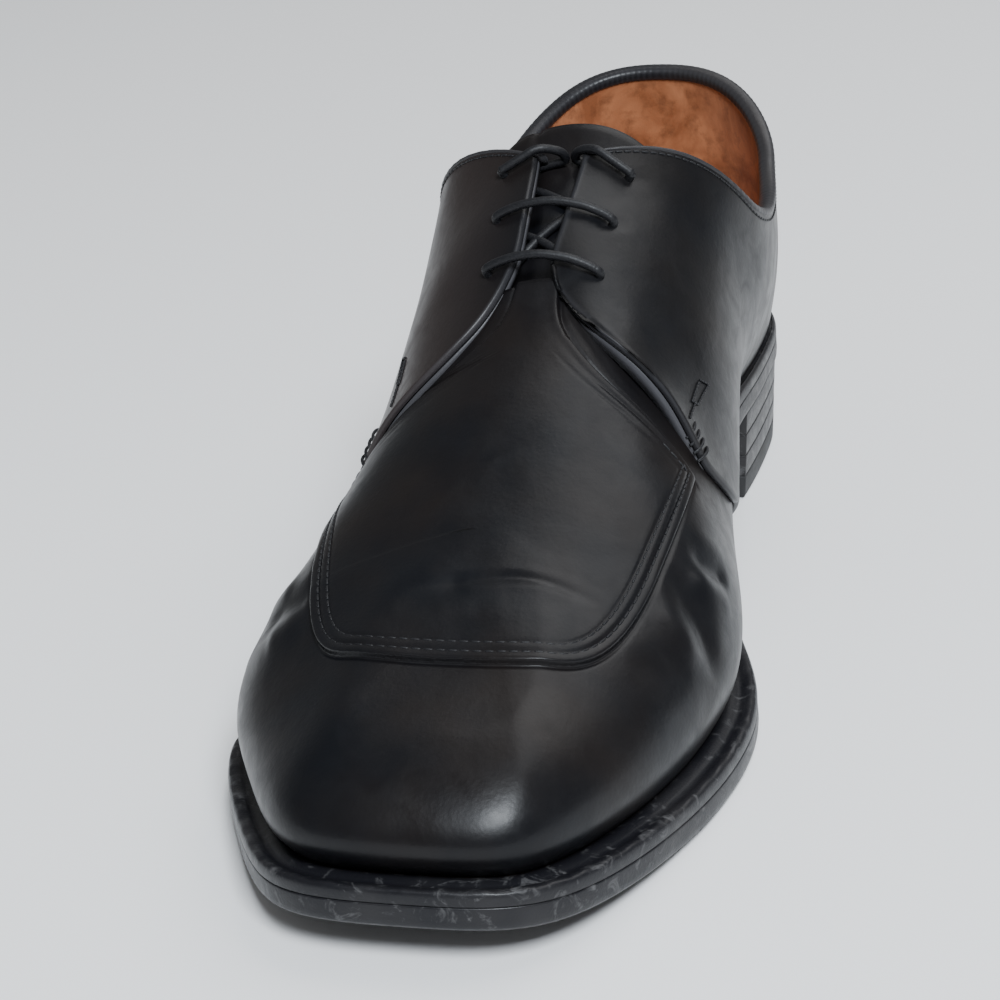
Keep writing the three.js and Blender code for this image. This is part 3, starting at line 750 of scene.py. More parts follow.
def make_vamp(materials):
    back = float(round_at(THROAT))
    straight = np.linspace(back, ball_round, 74)
    toe = np.linspace(ball_round, 1, 100)[1:]
    side = np.concatenate([straight, toe])
    arounds = np.concatenate([side, 2 - side[-2::-1]])
    ups = np.array([rib_ups(around) for around in arounds])
    place_round = np.repeat(arounds[:, None], ups.shape[1], 1)
    u, _ = place(place_round)
    behind = 1 - np.clip((u - back) / (ball_round - back), 0, 1)
    u = u - UNDERLAP * behind * np.clip(1 - ups / UNDERLAP_TOP, 0, 1) ** 1.2
    place_round = np.where(place_round <= 1, u, 2 - u)
    points = last(place_round, ups).reshape(-1, 3)
    aside = seam_aside(points[:, 0], np.where(points[:, 1] < 0, -1, 1))
    inside = (np.abs(points[:, 1]) < aside) & (ups.ravel() > LOWER)
    away = line_distance(points, seam_line) * np.where(inside, 1, -1)
    height = vamp_height(points, away, ups.ravel()).reshape(ups.shape)
    outer = skin(place_round, ups, height)
    inner = skin(place_round, ups, np.minimum(height, 0) - WALL + 0.1)
    return shell_piece("vamp", outer, inner, materials, inner_index=1, top_rim=False)


# Quarters: from the back seam to the facings, over the vamp
def facing_line(side):
    """The facing's edge in plan, from its top to the knob."""
    edge = FACING_EDGE[side]
    return spline(np.stack([edge["along"] * LENGTH, edge["aside"]], -1), 10)


def front_edge(side):
    """Run, round and up of a quarter's front edge, from the feather line over the knob to the top."""
    line = facing_line(side)[::-1]
    around, up = place_over(line[:, 0], side * line[:, 1])
    low = np.linspace(0, up[0], 60, endpoint=False)
    falling = 1 - low / up[0]
    rounds = np.concatenate([np.abs(around[0]) - 0.1 * falling**1.2, np.abs(around)])
    ups = np.concatenate([low, up])
    line = last(side * rounds, ups)
    run = run_along(line)
    return run, rounds, ups


def lift_at(around, up):
    """How far the open facings stand off the vamp."""
    p = last(around, up)
    total = np.zeros(np.shape(p[..., 0]))
    for side in (1, -1):
        line = facing_line(side)
        wide = line[np.argmin(line[:, 1]) :]
        aside = side * p[..., 1]
        share = (aside - FACING_GAP / 2) / (wide[-1, 1] + 2 - FACING_GAP / 2)
        edge = np.interp(aside, wide[:, 1], wide[:, 0])
        behind = np.clip((edge - p[..., 0]) / (0.07 * LENGTH), 0, 1)
        lift = FACING_LIFT[side] * np.sin(math.pi * np.clip(share, 0, 1)) ** 1.5 * (1 - behind) ** 1.5
        total = total + np.where((share > 0) & (share < 1), lift, 0)
    return total


EYELET_PLACES = [
    (row, side, along * LENGTH, float(aside))
    for row, (along, aside) in enumerate(zip(EYELETS["along"], EYELETS["aside"]))
    for side in (1, -1)
]


def near_end(count, near):
    """Shares from 0 to 1 with the last ones close together; near is a list of distances from the end."""
    even = np.linspace(0, 1 - near[0], count)
    return np.concatenate([even, [1 - d for d in near[1:]], [1.0]])


def quarter_grid():
    side_shares = near_end(110, [0.022, 0.014, 0.009, 0.006, 0.004, 0.0022, 0.001])
    tall_shares = near_end(76, [0.035, 0.022, 0.014, 0.009, 0.005, 0.002])
    u = side_shares[:, None]
    v = tall_shares[None, :]
    arounds, ups = [], []
    for side in (-1, 1):
        run, rounds, edge_ups = front_edge(side)
        at = np.interp(tall_shares, run / run[-1], rounds)[None, :]
        edge = np.interp(tall_shares, run / run[-1], edge_ups)[None, :]
        top_end = rounds[-1]
        tops = top_up(side * side_shares * top_end)[:, None]
        around = side * u * at
        up = tops * mix(v, edge / edge_ups[-1], u**4)
        if side < 0:
            arounds.append(around[::-1])
            ups.append(up[::-1])
        else:
            arounds.append(around[1:])
            ups.append(up[1:])
    return np.concatenate(arounds), np.concatenate(ups)


quarter_round, quarter_up = quarter_grid()
quarter_lift = lift_at(quarter_round, quarter_up)


def edge_distance(points):
    """Distance of each grid point from the grid's front and top edges."""
    grid = points.reshape(*quarter_round.shape, 3)
    edges = [grid[0, :], grid[-1, :], grid[:, -1]]
    away = np.full(len(points), np.inf)
    for edge in edges:
        fine = np.concatenate([mix(edge[:-1], edge[1:], s) for s in (0, 0.33, 0.67)])
        order = np.argsort(np.concatenate([np.arange(len(edge) - 1) + s for s in (0, 0.33, 0.67)]))
        away = np.minimum(away, line_distance(points, fine[order]))
    return away


# Radius of a cut edge, depth and half-width of the back seam, and marks round an eyelet
EDGE_ROUND = 0.85
BACK_SEAM = (0.5, 0.7)
EYELET_MARKS = ((-1.0, 0.0, 1.5), (0.18, 2.6, 1.0))


def make_quarters(materials):
    points = last(quarter_round, quarter_up).reshape(-1, 3)
    away = edge_distance(points).reshape(quarter_round.shape)
    e = np.clip(away / EDGE_ROUND, 0, 1)
    roll = EDGE_ROUND * (1 - np.sqrt(np.clip(1 - (1 - e) ** 2, 0, 1)))
    low = ease(quarter_up / 0.12)
    uneven = waves(points, *QUARTER_WAVES).reshape(quarter_round.shape) * low * ease(away / 12)
    x, y, _ = points.reshape(*quarter_round.shape, 3).transpose(2, 0, 1)
    back_seam = BACK_SEAM[0] * bell(y, BACK_SEAM[1]) * (x < heel_x / 2)
    height = QUARTER_STEP + quarter_lift - roll + uneven - back_seam
    for _, side, x, aside in EYELET_PLACES:
        centre = over(x, side * aside, 0)
        hole = np.linalg.norm(points - centre, axis=1).reshape(quarter_round.shape)
        height = height + marks(hole, EYELET_MARKS)
    outer = skin(quarter_round, quarter_up, height)
    inner = skin(quarter_round, quarter_up, quarter_lift - 0.15 + roll * 0.2)
    return shell_piece("quarters", outer, inner, materials)


# Share of each half of the quarters, from the heel, that is lined in tan
TAN_SHARE = 0.77
# The lining's rim is tan up to here along the shoe
RIM_TAN = 0.273


def make_lining(materials):
    """The lining of the quarters, black behind the facings."""
    outer = skin(quarter_round, quarter_up, quarter_lift - 0.3)
    inner = skin(quarter_round, quarter_up, quarter_lift * 0.6 - WALL)
    piece = shell_piece("quarter_lining", outer, inner, materials)
    rows, wide = quarter_round.shape
    strips = (rows - 1) * (wide - 1)
    rounds = np.abs(quarter_round[:, -1]) / top_round
    indices = []
    for k, face in enumerate(piece.data.polygons):
        row = (k % strips) // (wide - 1)
        in_front = face.center.x > to_row((RIM_TAN * LENGTH, 0, 0))[0, 0]
        black = rounds[row : row + 2].max() > TAN_SHARE if k < 2 * strips else in_front
        indices.append(1 if black else 0)
    piece.data.polygons.foreach_set("material_index", indices)
    return piece


# Collar binding: a roll over the top edge, from one facing round the heel to the other
BINDING = columns(
    ("over", "height"),
    (-1.7, 1.3), (-1.5, 1.75), (-0.9, 1.95), (-0.2, 1.85), (0.35, 1.35), (0.6, 0.5), (0.6, -0.5),
    (0.4, -1.4), (-0.1, -2.1), (-0.8, -2.4), (-1.6, -2.45), (-2.4, -2.4), (-2.8, -2.1), (-2.9, -1.5),
)


def make_binding(material):
    arounds = np.linspace(-float(top_round), float(top_round), 420)
    tops = top_up(arounds)
    rise = rise_at(arounds, tops)
    lift = lift_at(arounds, tops)
    rings = []
    for beyond, height in zip(BINDING["over"], BINDING["height"]):
        pucker = 0.06 * np.sin(arounds * perimeter / 1.1 * math.pi)
        rings.append(skin(arounds, tops + beyond / rise, height + lift + pucker))
    points = np.stack(rings, 1)
    count, wide = points.shape[:2]
    faces = ring_faces(count, wide)
    faces.append(tuple(range(wide))[::-1])
    faces.append(tuple((count - 1) * wide + j for j in range(wide)))
    return add_piece("collar_binding", points.reshape(-1, 3), faces, [material])


# Tongue
TONGUE_DEPTH = WALL + LACE + 2 * CLEAR


# The tongue's fold: place aside, turn, half-width and depth
FOLD_ASIDE, FOLD_TURN, FOLD_WIDE, FOLD_DEEP = -11.5, 0.12, 1.6, 0.9
# How full its corners are on either side, and the radius of its edge
CORNER = {1: 0.1, -1: 0.04}
TONGUE_EDGE = 1.4


def make_tongue(material):
    top = TONGUE_TOP * LENGTH
    foot = (THROAT + 0.065) * LENGTH
    vamp_edge = (THROAT + 0.05) * LENGTH
    s = np.concatenate([[0, 0.003, 0.008, 0.016, 0.03], np.linspace(0.045, 1, 60)])[:, None]
    t = np.linspace(1, -1, 70)[None, :]
    x = np.broadcast_to(mix(top, foot, s), (len(s), t.size))
    rising = ease((x - vamp_edge + 12) / 12)
    depth = mix(TONGUE_DEPTH, WALL + 2 * CLEAR, rising)
    cornered = np.sqrt(np.minimum(1, (s + np.where(t > 0, CORNER[1], CORNER[-1])) / 0.15))
    y = t * TONGUE_WIDTH / 2 * cornered
    around, up = place_over(x, y)
    edge = np.minimum(s * (foot - top), (1 - np.abs(t)) * TONGUE_WIDTH / 2)
    rounded = 0.6 * (1 - ease(edge / TONGUE_EDGE))
    fold = FOLD_DEEP * bell(y - FOLD_ASIDE - (x - top) * FOLD_TURN, FOLD_WIDE) * ease(1.4 - (x - top) / 40)
    flat = last(around, up).reshape(-1, 3)
    soft = waves(flat, *TONGUE_WAVES).reshape(around.shape)
    outer = skin(around, up, -depth - rounded - fold + soft)
    inner = skin(around, up, -depth - TONGUE + rounded - fold + soft)
    return shell_piece("tongue_sheet", outer, inner, [material])


# Sole
def sole_places():
    """Places round the whole edge, closer together at the toe and the heel."""
    heel = np.linspace(0, heel_round, 60, endpoint=False)
    middle = np.linspace(heel_round, ball_round, 90, endpoint=False)
    toe = np.linspace(ball_round, 1, 110)
    side = np.concatenate([heel, middle, toe])
    return np.concatenate([side, 2 - side[-2:0:-1]])


# The welt's outer edge from below, as inset and height, and the furrow in its top, as share and depth
WELT_EDGE = ((1.0, 0.0), (0.5, -0.24), (0.14, -0.2), (0.03, 0.2), (0.02, 1.6), (0.2, 2.5))
WELT_FURROW = ((0.4, 0.55), (0.5, 0.75), (0.6, 0.45))


def make_welt(material):
    arounds = sole_places()
    width = welt_width(arounds) + WALL
    edge = sole_edge(arounds)
    run = run_along(edge)
    front = ease((edge[:, 0] - 0.45 * LENGTH) / 40)
    scallop = front * (0.16 * np.sin(run * 2 * math.pi / 8.0) + 0.07 * np.sin(run * 2 * math.pi / 2.9))
    wide = width - WALL
    profile = [(width, 0.0)] + [(0 * width + inward, height) for inward, height in WELT_EDGE]
    profile += [(0 * width + 0.6, 3.02 + 0.4 * scallop), (0 * width + 1.2, WELT + scallop)]
    profile.append((0.28 * wide, WELT + 0.35 * scallop))
    profile += [(share * wide, WELT - deep * front) for share, deep in WELT_FURROW]
    profile += [(0.72 * wide, WELT + 0.1), (0.88 * wide, WELT + 0.05)]
    profile += [(wide, WELT - 0.1), (width, WELT - 0.1)]
    rings = []
    for inward, lift in profile:
        plan_ring = inset(arounds, inward)
        rings.append(np.stack([plan_ring[:, 0], plan_ring[:, 1], welt_bottom(plan_ring[:, 0]) + lift], -1))
    points = np.stack(rings, 1)
    count, wide_count = points.shape[:2]
    faces = []
    for i in range(count):
        for j in range(wide_count):
            k = (j + 1) % wide_count
            n = (i + 1) % count
            faces.append((i * wide_count + j, n * wide_count + j, n * wide_count + k, i * wide_count + k))
    return add_piece("welt_strip", points.reshape(-1, 3), faces, [material])


def plate_piece(name, arounds, rings, materials):
    """A plate between rings of (inset, height function), from the lowest up, closed above and below."""
    loops = []
    for inward, height in rings:
        edge = inset(arounds, inward)
        loops.append(np.stack([edge[:, 0], edge[:, 1], height(edge[:, 0])], -1))
    count = len(arounds)
    faces = ring_faces(len(loops), count)
    points = list(np.concatenate(loops))
    for k, flip in ((0, True), (len(loops) - 1, False)):
        half = count // 2
        pairs = [(i, (count - i) % count) for i in range(half + 1)]
        across = 24
        rows = []
        for a, b in pairs:
            if a == b or a == half:
                rows.append([k * count + a])
                continue
            row = [k * count + a]
            for m in range(1, across):
                p = mix(loops[k][a], loops[k][b], m / across)
                p[2] = rings[k][1](p[0])
                row.append(len(points))
                points.append(p)
            rows.append([*row, k * count + b])
        for r, n in zip(rows, rows[1:]):
            if len(r) == 1 or len(n) == 1:
                one, many = (r[0], n) if len(r) == 1 else (n[0], r)
                for m in range(len(many) - 1):
                    face = (one, many[m], many[m + 1])
                    face = face if len(r) == 1 else face[::-1]
                    faces.append(face if flip else face[::-1])
            else:
                for m in range(across):
                    face = (r[m], n[m], n[m + 1], r[m + 1])
                    faces.append(face if flip else face[::-1])
    return add_piece(name, np.array(points), faces, materials)


def make_outsole(material):
    arounds = sole_places()
    edge = sole_edge(arounds)
    run = run_along(edge)
    uneven = 0.12 * np.sin(run / 9.0) + 0.08 * np.sin(run / 3.7 + 1)
    rings = [
        (6.0, underside),
        (1.4, underside),
        (0.5, lambda x: underside(x) + 0.25),
        (0.1 + 0.5 * uneven, lambda x: underside(x) + 0.9),
        (uneven * 0.6, lambda x: underside(x) + 2.0),
        (0.05 + uneven * 0.6, lambda x: underside(x) + 3.6),
        (0.06, lambda x: outsole_top(x) - 0.5),
        (0.16, lambda x: outsole_top(x) - 0.12),
        (0.5, outsole_top),
        (2.0, outsole_top),
    ]
    return plate_piece("outsole_plate", arounds, rings, [material])


def heel_inset(z):
    return 0.6 + HEEL_TAPER * (1 - z / HEEL_HEIGHT)


def make_heel(material, top_material):
    breast = float(round_at(BREAST))
    back = np.linspace(0, heel_round, 70, endpoint=False)
    side = np.concatenate([back, np.linspace(heel_round, breast, 30)])
    arounds = np.concatenate([side, -side[:0:-1]])
    levels = np.concatenate([[0.0], np.linspace(TOP_PIECE, HEEL_HEIGHT, 4)])
    names = ("heel_top_piece", "heel_lift_1", "heel_lift_2", "heel_lift_3")
    for node, low, high in zip(names, levels, levels[1:]):
        below, above = heel_inset(low), heel_inset(high)
        rounded = ((below + 5, low), (below + 0.45, low), (below + 0.12, low + 0.15), (below, low + 0.5))
        rounded += ((above, high - 0.5), (above + 0.12, high - 0.15), (above + 0.45, high), (above + 5, high))
        rings = [(inward, lambda x, z=z: z + 0 * x) for inward, z in rounded]
        paint = top_material if node == "heel_top_piece" else material
        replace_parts(plate_piece(f"{node}_slab", arounds, rings, [paint]), node)


def make_insole(material):
    arounds = sole_places()
    edge = welt_width(arounds) + WALL + 2 * CLEAR

    def top(x):
        return welt_bottom(x) + WELT + 4 - WALL

    rings = [
        (edge + 4, welt_bottom),
        (edge, welt_bottom),
        (edge, feather),
        (edge - 1.2, lambda x: top(x) - 0.5),
        (edge - 1.0, top),
        (edge + 3, top),
    ]
    return plate_piece("insole_board", arounds, rings, [material])


# Laces
LACE_UNDER = -(WALL + CLEAR + LACE / 2)
LACE_OVER = QUARTER_STEP + CLEAR + LACE / 2
LACE_END = columns(
    ("back", "aside", "height"),
    (0.0, 1.0, 0.0), (1.2, 0.72, 0.1), (2.8, 0.44, 0.25), (3.8, 0.16, -0.4), (3.7, 0.1, -0.9),
    (3.3, 0.4, -1.02), (3.0, 0.75, -1.02), (2.8, 1.15, -1.02), (2.6, 1.6, -1.02),
)


def braid(angle, run):
    """Two sets of strands winding either way round a waxed lace."""
    turn = run * 4 * math.pi / 3.4
    return 0.045 * np.cos(4 * angle + turn) * np.cos(4 * angle - turn)


def lace_tube(points, per=10):
    return tube_mesh(spline(points, per), LACE / 2, 20, braid)


def find(row, side):
    return next(each for each in EYELET_PLACES if each[0] == row and each[1] == side)


def make_lace_end(name, side, material):
    _, _, x, aside = find(0, side)
    height = LACE_END["height"]
    heights = np.where(height < 0, mix(LACE_OVER, LACE_UNDER, -height), LACE_OVER + height + CLEAR)
    route = over(x - LACE_END["back"], side * aside * LACE_END["aside"], heights)
    fine = spline(route)
    points, faces = tube_mesh(fine, LACE / 2, 20, braid)
    piece = add_piece(name, points, faces, [material])
    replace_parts(piece, f"lace_end_{'inner' if side > 0 else 'outer'}")


# Crossings under the facings, each from one eyelet (row, side) to another
CROSSINGS = (((2, 1), (1, -1)), ((2, -1), (0, 1)), ((1, 1), (0, -1)))


# A bar over the facings from its middle: share of the way to the eyelet, and height over the lace's rest
LACE_BAR = columns(
    ("share", "height"),
    (1.0, -6.2), (1.0, -3.4), (0.97, -0.7), (0.86, 0.05), (0.66, 0.3), (0.4, 0.5), (0.0, 0.6),
)
# Heights of the short rise through a top eyelet
LACE_RISE = np.array([LACE_UNDER, 0.0, 1.4, 2.4, LACE_OVER + CLEAR])


def make_laces(material):
    def raised(x, aside):
        around, up = place_over(x, aside)
        return LACE_OVER + float(lift_at(around, up))

    parts = []
    for row in (1, 2):
        _, _, x, aside = find(row, 1)
        top = raised(x, aside)
        shares = np.concatenate([LACE_BAR["share"], -LACE_BAR["share"][-2::-1]])
        heights = np.concatenate([LACE_BAR["height"], LACE_BAR["height"][-2::-1]])
        parts.append(lace_tube(over(x, aside * shares, top + heights)))
    for first, second in CROSSINGS:
        a, b = find(*first), find(*second)
        s = np.linspace(0, 1, 9)
        line = over(mix(a[2], b[2], s), mix(a[1] * a[3], b[1] * b[3], s), LACE_UNDER)
        parts.append(lace_tube(line))
    for side in (1, -1):
        _, _, x, aside = find(0, side)
        parts.append(lace_tube(over(x, side * aside, LACE_RISE)))
    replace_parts(add_joined("lace_run", parts, material), "lace")


# Stitches: short threads laid along a line over the last, with the pitch, radius and height of each kind
APRON_STITCH = (2.6, 0.26, 0.16)
TOPLINE_STITCH = (2.2, 0.27, 0.14)
LOOP_STITCH = (1.25, 0.3, 0.2)
LOOP_TAIL_STITCH = (1.5, 0.3, 0.2)
STITCH_ROWS = (2.5, 5.0)
TOPLINE_INSET = 2.9


def stitch_mesh(line, normals, pitch, size, tall):
    """Small rounded threads end to end along a line of points."""
    run = run_along(line)
    count = int(run[-1] / pitch)
    parts = []
    for i in range(count):
        low, high = (i + 0.12) * pitch, (i + 0.88) * pitch
        at = np.linspace(low, high, 5)
        centre = np.stack([np.interp(at, run, line[:, k]) for k in range(3)], -1)
        out = unit(np.stack([np.interp(at, run, normals[:, k]) for k in range(3)], -1))
        lift = tall * np.sin(np.linspace(0.25, math.pi - 0.25, 5))[:, None]
        parts.append(tube_mesh(centre + out * lift, size, 6))
    return joined(parts)


def seam_rows(insets):
    """Lines on the vamp that follow the apron's seam at given distances inside it."""
    rows = []
    plan_line = seam_plan()
    run = unit(np.gradient(plan_line, axis=0))
    around, up = place_over(plan_line[:, 0], plan_line[:, 1])
    slope = np.abs(normal(around, up)[:, 2])
    for amount in insets:
        inward = np.stack([-run[:, 1], run[:, 0]], -1)
        moved = plan_line + inward * (amount * np.maximum(slope, 0.35))[:, None]
        moved = moved[moved[:, 0] > 0.605 * LENGTH]
        around, up = place_over(moved[:, 0], moved[:, 1])
        height = vamp_height(last(around, up), np.full(around.shape, amount), up)
        sunk = 0.22 * ease((moved[:, 0] - 240) / 12)
        rows.append((skin(around, up, height - 0.02 - sunk), normal(around, up)))
    return rows


def make_apron_stitches(material):
    parts = []
    for line, out in seam_rows(STITCH_ROWS):
        parts.append(stitch_mesh(line, out, *APRON_STITCH))
    return add_joined("apron_stitches", parts, material)


def make_topline_stitches(material):
    arounds = np.linspace(-float(top_round) * 0.995, float(top_round) * 0.995, 900)
    tops = top_up(arounds)
    rise = rise_at(arounds, tops)
    ups = tops - TOPLINE_INSET / rise
    line = skin(arounds, ups, QUARTER_STEP + lift_at(arounds, ups) - 0.05)
    points, faces = stitch_mesh(line, normal(arounds, ups), *TOPLINE_STITCH)
    return add_piece("topline_stitches", points, faces, [material])


# A narrow stitched loop above each knob, with a tail to the facing's edge; the outer side mirrors it
BAR_TACK = ((155.3, 33.6), (152.7, 35.1), (162.4, 34.0), (164.4, 32.8), (155.3, 33.6))
BAR_TACK_TAIL = ((163.4, 33.4), (168.0, 33.0), (172.1, 32.7))


def make_bar_tacks(material):
    parts = []
    for side in (1, -1):
        for route, kind in ((BAR_TACK, LOOP_STITCH), (BAR_TACK_TAIL, LOOP_TAIL_STITCH)):
            corners = np.array(route)
            share = np.linspace(0, 1, 12)[:, None]
            loop = np.concatenate([mix(a, b, share) for a, b in zip(corners, corners[1:])])
            around, up = place_over(loop[:, 0], side * loop[:, 1])
            uneven = waves(last(around, up), *QUARTER_WAVES)
            line = skin(around, up, QUARTER_STEP + lift_at(around, up) + uneven)
            parts.append(stitch_mesh(line, normal(around, up), *kind))
    return add_joined("bar_tacks", parts, material)


# A binding thread over a knob: places along the shoe and heights
WHIP = columns(("along", "height"), (-3.2, 0.6), (-2.2, 1.9), (0.0, 2.3), (2.0, 1.5), (2.9, 0.2))
WHIP_START = np.array([1.6, 1.5])
WHIP_STEP = np.array([0.3325, 1.0])
WHIPS = 4
WHIP_RADIUS = 0.4


def make_knobs(material):
    """Thick whipped thread that binds the corner of each facing to the vamp."""
    parts = []
    for side in (1, -1):
        for step in range(WHIPS):
            x, y = facing_line(side)[-1] - WHIP_START - step * WHIP_STEP
            around, up = place_over(x + WHIP["along"], side * y)
            route = skin(around, up, WHIP["height"] + lift_at(around, up) * 0.6)
            parts.append(tube_mesh(spline(route, 5), WHIP_RADIUS, 8))
    return add_joined("knob_threads", parts, material)


# Materials
class Paint:
    """A procedural material in object coordinates, in millimetres times a scale."""

    def __init__(self, name, scale=1000.0):
        self.material = bpy.data.materials.new(name)
        self.material.use_nodes = True
        self.nodes = self.material.node_tree.nodes
        self.shader = self.nodes["Principled BSDF"]
        place_node = self.nodes.new("ShaderNodeTexCoord")
        stretch = self.nodes.new("ShaderNodeMapping")
        stretch.inputs["Scale"].default_value = (scale, scale, scale)
        self.link(place_node.outputs["Object"], stretch.inputs["Vector"])
        self.vector = stretch.outputs["Vector"]

    def link(self, source, socket):
        self.material.node_tree.links.new(source, socket)

    def set(self, **values):
        """Links a node's output to each named socket of the shader, or sets a number there."""
        for name, value in values.items():
            socket = self.shader.inputs[name.replace("_", " ")]
            if isinstance(value, (int, float)):
                socket.default_value = value
            else:
                self.link(value, socket)

    def noise(self, size, detail=4.0, rough=0.55, distort=0.0):
        node = self.nodes.new("ShaderNodeTexNoise")
        node.inputs["Scale"].default_value = 1.0 / size
        node.inputs["Detail"].default_value = detail
        node.inputs["Roughness"].default_value = rough
        node.inputs["Distortion"].default_value = distort
        self.link(self.vector, node.inputs["Vector"])
        return node.outputs["Fac"]

    def ramp(self, source, *stops):
        node = self.nodes.new("ShaderNodeValToRGB")
        for point, (at, value) in zip(node.color_ramp.elements, stops):
            point.position = at
            point.color = (value, value, value, 1)
        self.link(source, node.inputs["Fac"])
        return node.outputs["Color"]

    def maths(self, operation, first, second):
        node = self.nodes.new("ShaderNodeMath")
        node.operation = operation
        for socket, value in zip(node.inputs, (first, second)):
            if isinstance(value, (int, float)):
                socket.default_value = value
            else:
                self.link(value, socket)
        return node.outputs["Value"]

    def blend(self, share, first, second):
        node = self.nodes.new("ShaderNodeMix")
        node.data_type = "RGBA"
        self.link(share, node.inputs["Factor"])
        for name, value in (("A", first), ("B", second)):
            socket = next(s for s in node.inputs if s.name == name and s.type == "RGBA")
            if isinstance(value, tuple):
                socket.default_value = (*value, 1)
            else:
                self.link(value, socket)
        return next(s for s in node.outputs if s.type == "RGBA")

    def bump(self, height, distance, strength=1.0, before=None):
        node = self.nodes.new("ShaderNodeBump")
        node.inputs["Distance"].default_value = distance / 1000
        node.inputs["Strength"].default_value = strength
        self.link(height, node.inputs["Height"])
        if before is not None:
            self.link(before, node.inputs["Normal"])
        return node.outputs["Normal"]

    def sharp_edges(self, low, high):
        geometry = self.nodes.new("ShaderNodeNewGeometry")
        return self.ramp(geometry.outputs["Pointiness"], (low, 0.0), (high, 1.0))


# Pale grey for sharp leather edges: partly rubbing wear, partly a painted highlight along the edges
EDGE_WEAR_AND_HIGHLIGHT = (0.09, 0.09, 0.1)
DIRT = (0.1, 0.034, 0.014)
SCUFF = (0.15, 0.148, 0.15)


def leather(name, dark, light, gloss=(0.3, 0.44), grain=0.05, coat=0.05, edge_wear_and_highlight=0.5, warm=None):
    """Polished leather; warm is a tint of the outer side, and the given share lightens its sharp edges
    towards a pale grey, partly rubbing wear and partly a painted highlight.
    """
    paint = Paint(name)
    pores = paint.nodes.new("ShaderNodeTexVoronoi")
    pores.inputs["Scale"].default_value = 1 / 1.1
    paint.link(paint.vector, pores.inputs["Vector"])
    colour = paint.blend(paint.ramp(paint.noise(34, 3, 0.5), (0.35, 0.0), (0.68, 1.0)), dark, light)
    if warm:
        axes = paint.nodes.new("ShaderNodeSeparateXYZ")
        paint.link(paint.vector, axes.inputs["Vector"])
        outer = paint.maths("MULTIPLY", axes.outputs["Y"], -0.02)
        colour = paint.blend(paint.ramp(outer, (0.1, 0.0), (0.6, 1.0)), colour, warm)
    # Sharp edges lightened towards the pale grey: partly rubbing wear, partly a painted highlight
    if edge_wear_and_highlight:
        worn_and_highlit = paint.maths("MULTIPLY", paint.sharp_edges(0.515, 0.6), edge_wear_and_highlight)
        colour = paint.blend(worn_and_highlit, colour, EDGE_WEAR_AND_HIGHLIGHT)
    rough = paint.ramp(paint.noise(9, 4, 0.6, 0.8), (0.3, gloss[0]), (0.7, gloss[1]))
    pore = paint.maths("MULTIPLY", pores.outputs["Distance"], 0.5)
    crinkle = paint.maths("ADD", paint.noise(0.9, 5, 0.6), pore)
    slow = paint.bump(paint.noise(7, 3, 0.5), 0.22, 0.5)
    paint.set(Base_Color=colour, Roughness=rough, Normal=paint.bump(crinkle, grain, 0.5, slow))
    paint.set(Coat_Weight=coat, Coat_Roughness=0.2, Specular_IOR_Level=0.19)
    return paint.material


def tan_leather(name, dark, light):
    paint = Paint(name)
    spots = paint.noise(5, 5, 0.65)
    colour = paint.blend(paint.ramp(paint.noise(17, 4, 0.6, 0.5), (0.38, 0.0), (0.62, 1.0)), dark, light)
    colour = paint.blend(paint.ramp(spots, (0.3, 0.6), (0.52, 0.0)), colour, DIRT)
    paint.set(Base_Color=colour, Roughness=paint.ramp(spots, (0.3, 0.5), (0.7, 0.72)))
    paint.set(Normal=paint.bump(paint.noise(0.7, 4, 0.6), 0.08, 0.6))
    paint.set(Sheen_Weight=0.08, Specular_IOR_Level=0.35)
    return paint.material


def edge_paint(name, dark, light):
    paint = Paint(name)
    scuff = paint.noise(6, 6, 0.7, 1.2)
    colour = paint.blend(paint.ramp(paint.noise(26, 2, 0.5), (0.4, 0.0), (0.65, 1.0)), dark, light)
    colour = paint.blend(paint.ramp(scuff, (0.56, 0.0), (0.72, 0.5)), colour, SCUFF)
    paint.set(Base_Color=colour, Roughness=paint.ramp(scuff, (0.3, 0.3), (0.72, 0.55)))
    paint.set(Normal=paint.bump(paint.maths("ADD", paint.noise(0.6, 4, 0.6), scuff), 0.12, 0.6))
    paint.set(Specular_IOR_Level=0.22, Coat_Weight=0.07, Coat_Roughness=0.2)
    return paint.material


def waxed_cotton(name, dark, light, size=0.5):
    paint = Paint(name)
    fine = paint.noise(size, 4, 0.65)
    paint.set(Base_Color=paint.blend(fine, dark, light), Roughness=paint.ramp(fine, (0.3, 0.38), (0.7, 0.6)))
    paint.set(Normal=paint.bump(fine, 0.1, 0.7), Specular_IOR_Level=0.3)
    return paint.material


def rubber(name, dark, light):
    paint = Paint(name)
    dust = paint.noise(12, 4, 0.6)
    colour = paint.blend(paint.ramp(dust, (0.45, 0.0), (0.75, 0.6)), dark, light)
    paint.set(Base_Color=colour, Roughness=paint.ramp(dust, (0.3, 0.5), (0.7, 0.8)))
    paint.set(Normal=paint.bump(paint.noise(0.8, 5, 0.65), 0.12, 0.7))
    return paint.material


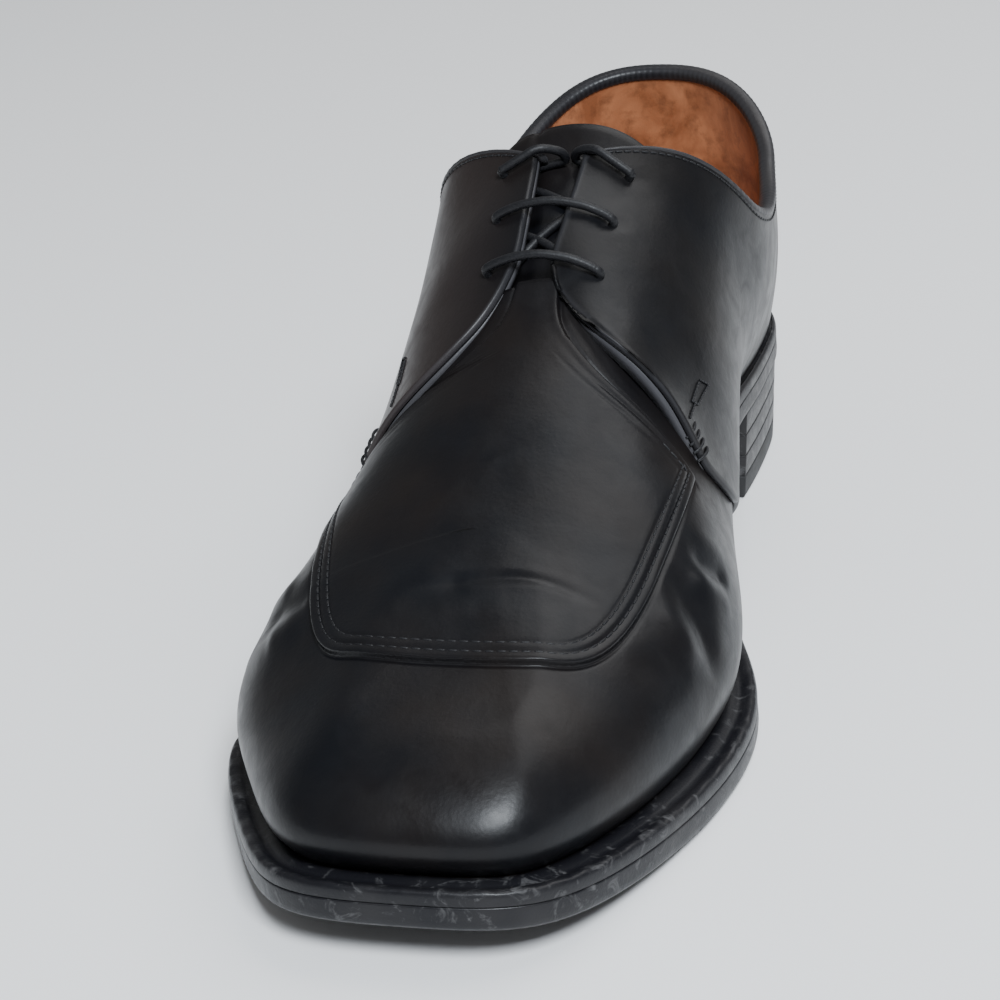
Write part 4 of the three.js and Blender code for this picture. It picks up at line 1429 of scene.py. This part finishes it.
BLACK_LEATHER = leather("black_leather", (0.0035, 0.004, 0.0055), (0.008, 0.0062, 0.0058), edge_wear_and_highlight=0)
QUARTER_LEATHER = leather(
    "quarter_leather", (0.0035, 0.004, 0.0055), (0.007, 0.006, 0.0058), warm=(0.024, 0.017, 0.0155)
)
BLACK_TRIM = leather("black_binding", (0.010, 0.010, 0.012), (0.02, 0.018, 0.018), (0.3, 0.46), 0.08)
TAN = tan_leather("tan_lining", (0.25, 0.082, 0.03), (0.5, 0.2, 0.088))
SOLE_EDGE = edge_paint("sole_edge", (0.007, 0.007, 0.009), (0.02, 0.019, 0.02))
LACE_BLACK = waxed_cotton("waxed_lace", (0.003, 0.003, 0.004), (0.011, 0.011, 0.013))
THREAD = waxed_cotton("black_thread", (0.003, 0.003, 0.004), (0.012, 0.012, 0.014), 0.35)
RUBBER = rubber("top_piece_rubber", (0.014, 0.014, 0.015), (0.06, 0.058, 0.055))

# Pieces: the cords come first
make_lace_end("lace_tail_inner", 1, LACE_BLACK)
make_lace_end("lace_tail_outer", -1, LACE_BLACK)
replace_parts(make_vamp([BLACK_LEATHER, TAN]), "upper")
make_quarters([QUARTER_LEATHER])
make_lining([TAN, BLACK_TRIM])
make_binding(BLACK_TRIM)
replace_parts(make_tongue(BLACK_LEATHER), "tongue")
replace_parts(make_welt(SOLE_EDGE), "welt")
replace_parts(make_outsole(SOLE_EDGE), "outsole")
make_heel(SOLE_EDGE, RUBBER)
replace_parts(make_insole(TAN), "insole")
make_laces(LACE_BLACK)
make_apron_stitches(THREAD)
make_topline_stitches(THREAD)
make_bar_tacks(THREAD)
make_knobs(THREAD)


# Floor and light
FLOOR_REACH = 4.0
FLOOR_STEPS = 24
UNDER_SOLE = -0.0004


def make_floor():
    data = bpy.data.meshes.new("floor")
    lines = np.linspace(-FLOOR_REACH, FLOOR_REACH, FLOOR_STEPS + 1)
    points = [(x, y, UNDER_SOLE) for x in lines for y in lines]
    data.from_pydata(points, [], grid_faces(FLOOR_STEPS + 1, FLOOR_STEPS + 1))
    floor = bpy.data.objects.new("floor", data)
    paint = Paint("pale_floor", 1.0)
    tone = paint.blend(paint.noise(0.8, 2, 0.5), (0.86, 0.86, 0.865), (0.9, 0.9, 0.9))
    paint.set(Base_Color=tone, Roughness=0.8)
    data.materials.append(paint.material)
    bpy.context.scene.collection.objects.link(floor)


def make_light(name, at, target, size, power, colour=(1, 1, 1)):
    data = bpy.data.lights.new(name, "AREA")
    data.shape = "RECTANGLE"
    data.size, data.size_y = size
    data.energy = power
    data.color = colour
    light = bpy.data.objects.new(name, data)
    light.location = at
    light.rotation_euler = (Vector(target) - Vector(at)).to_track_quat("-Z", "Y").to_euler()
    bpy.context.scene.collection.objects.link(light)


make_floor()
make_light("key", (0.89, 0.49, 1.24), (0.12, 0.01, 0.03), (0.54, 0.54), 42, (0.88, 0.94, 1.0))
make_light("ceiling", (-0.72, 0.42, 1.3), (0, 0, 0), (1.3, 1.1), 13)
world = bpy.data.worlds.new("studio")
world.use_nodes = True
sky = world.node_tree.nodes["Background"].inputs
sky["Color"].default_value = (0.93, 0.94, 0.95, 1)
sky["Strength"].default_value = 0.26
bpy.context.scene.world = world
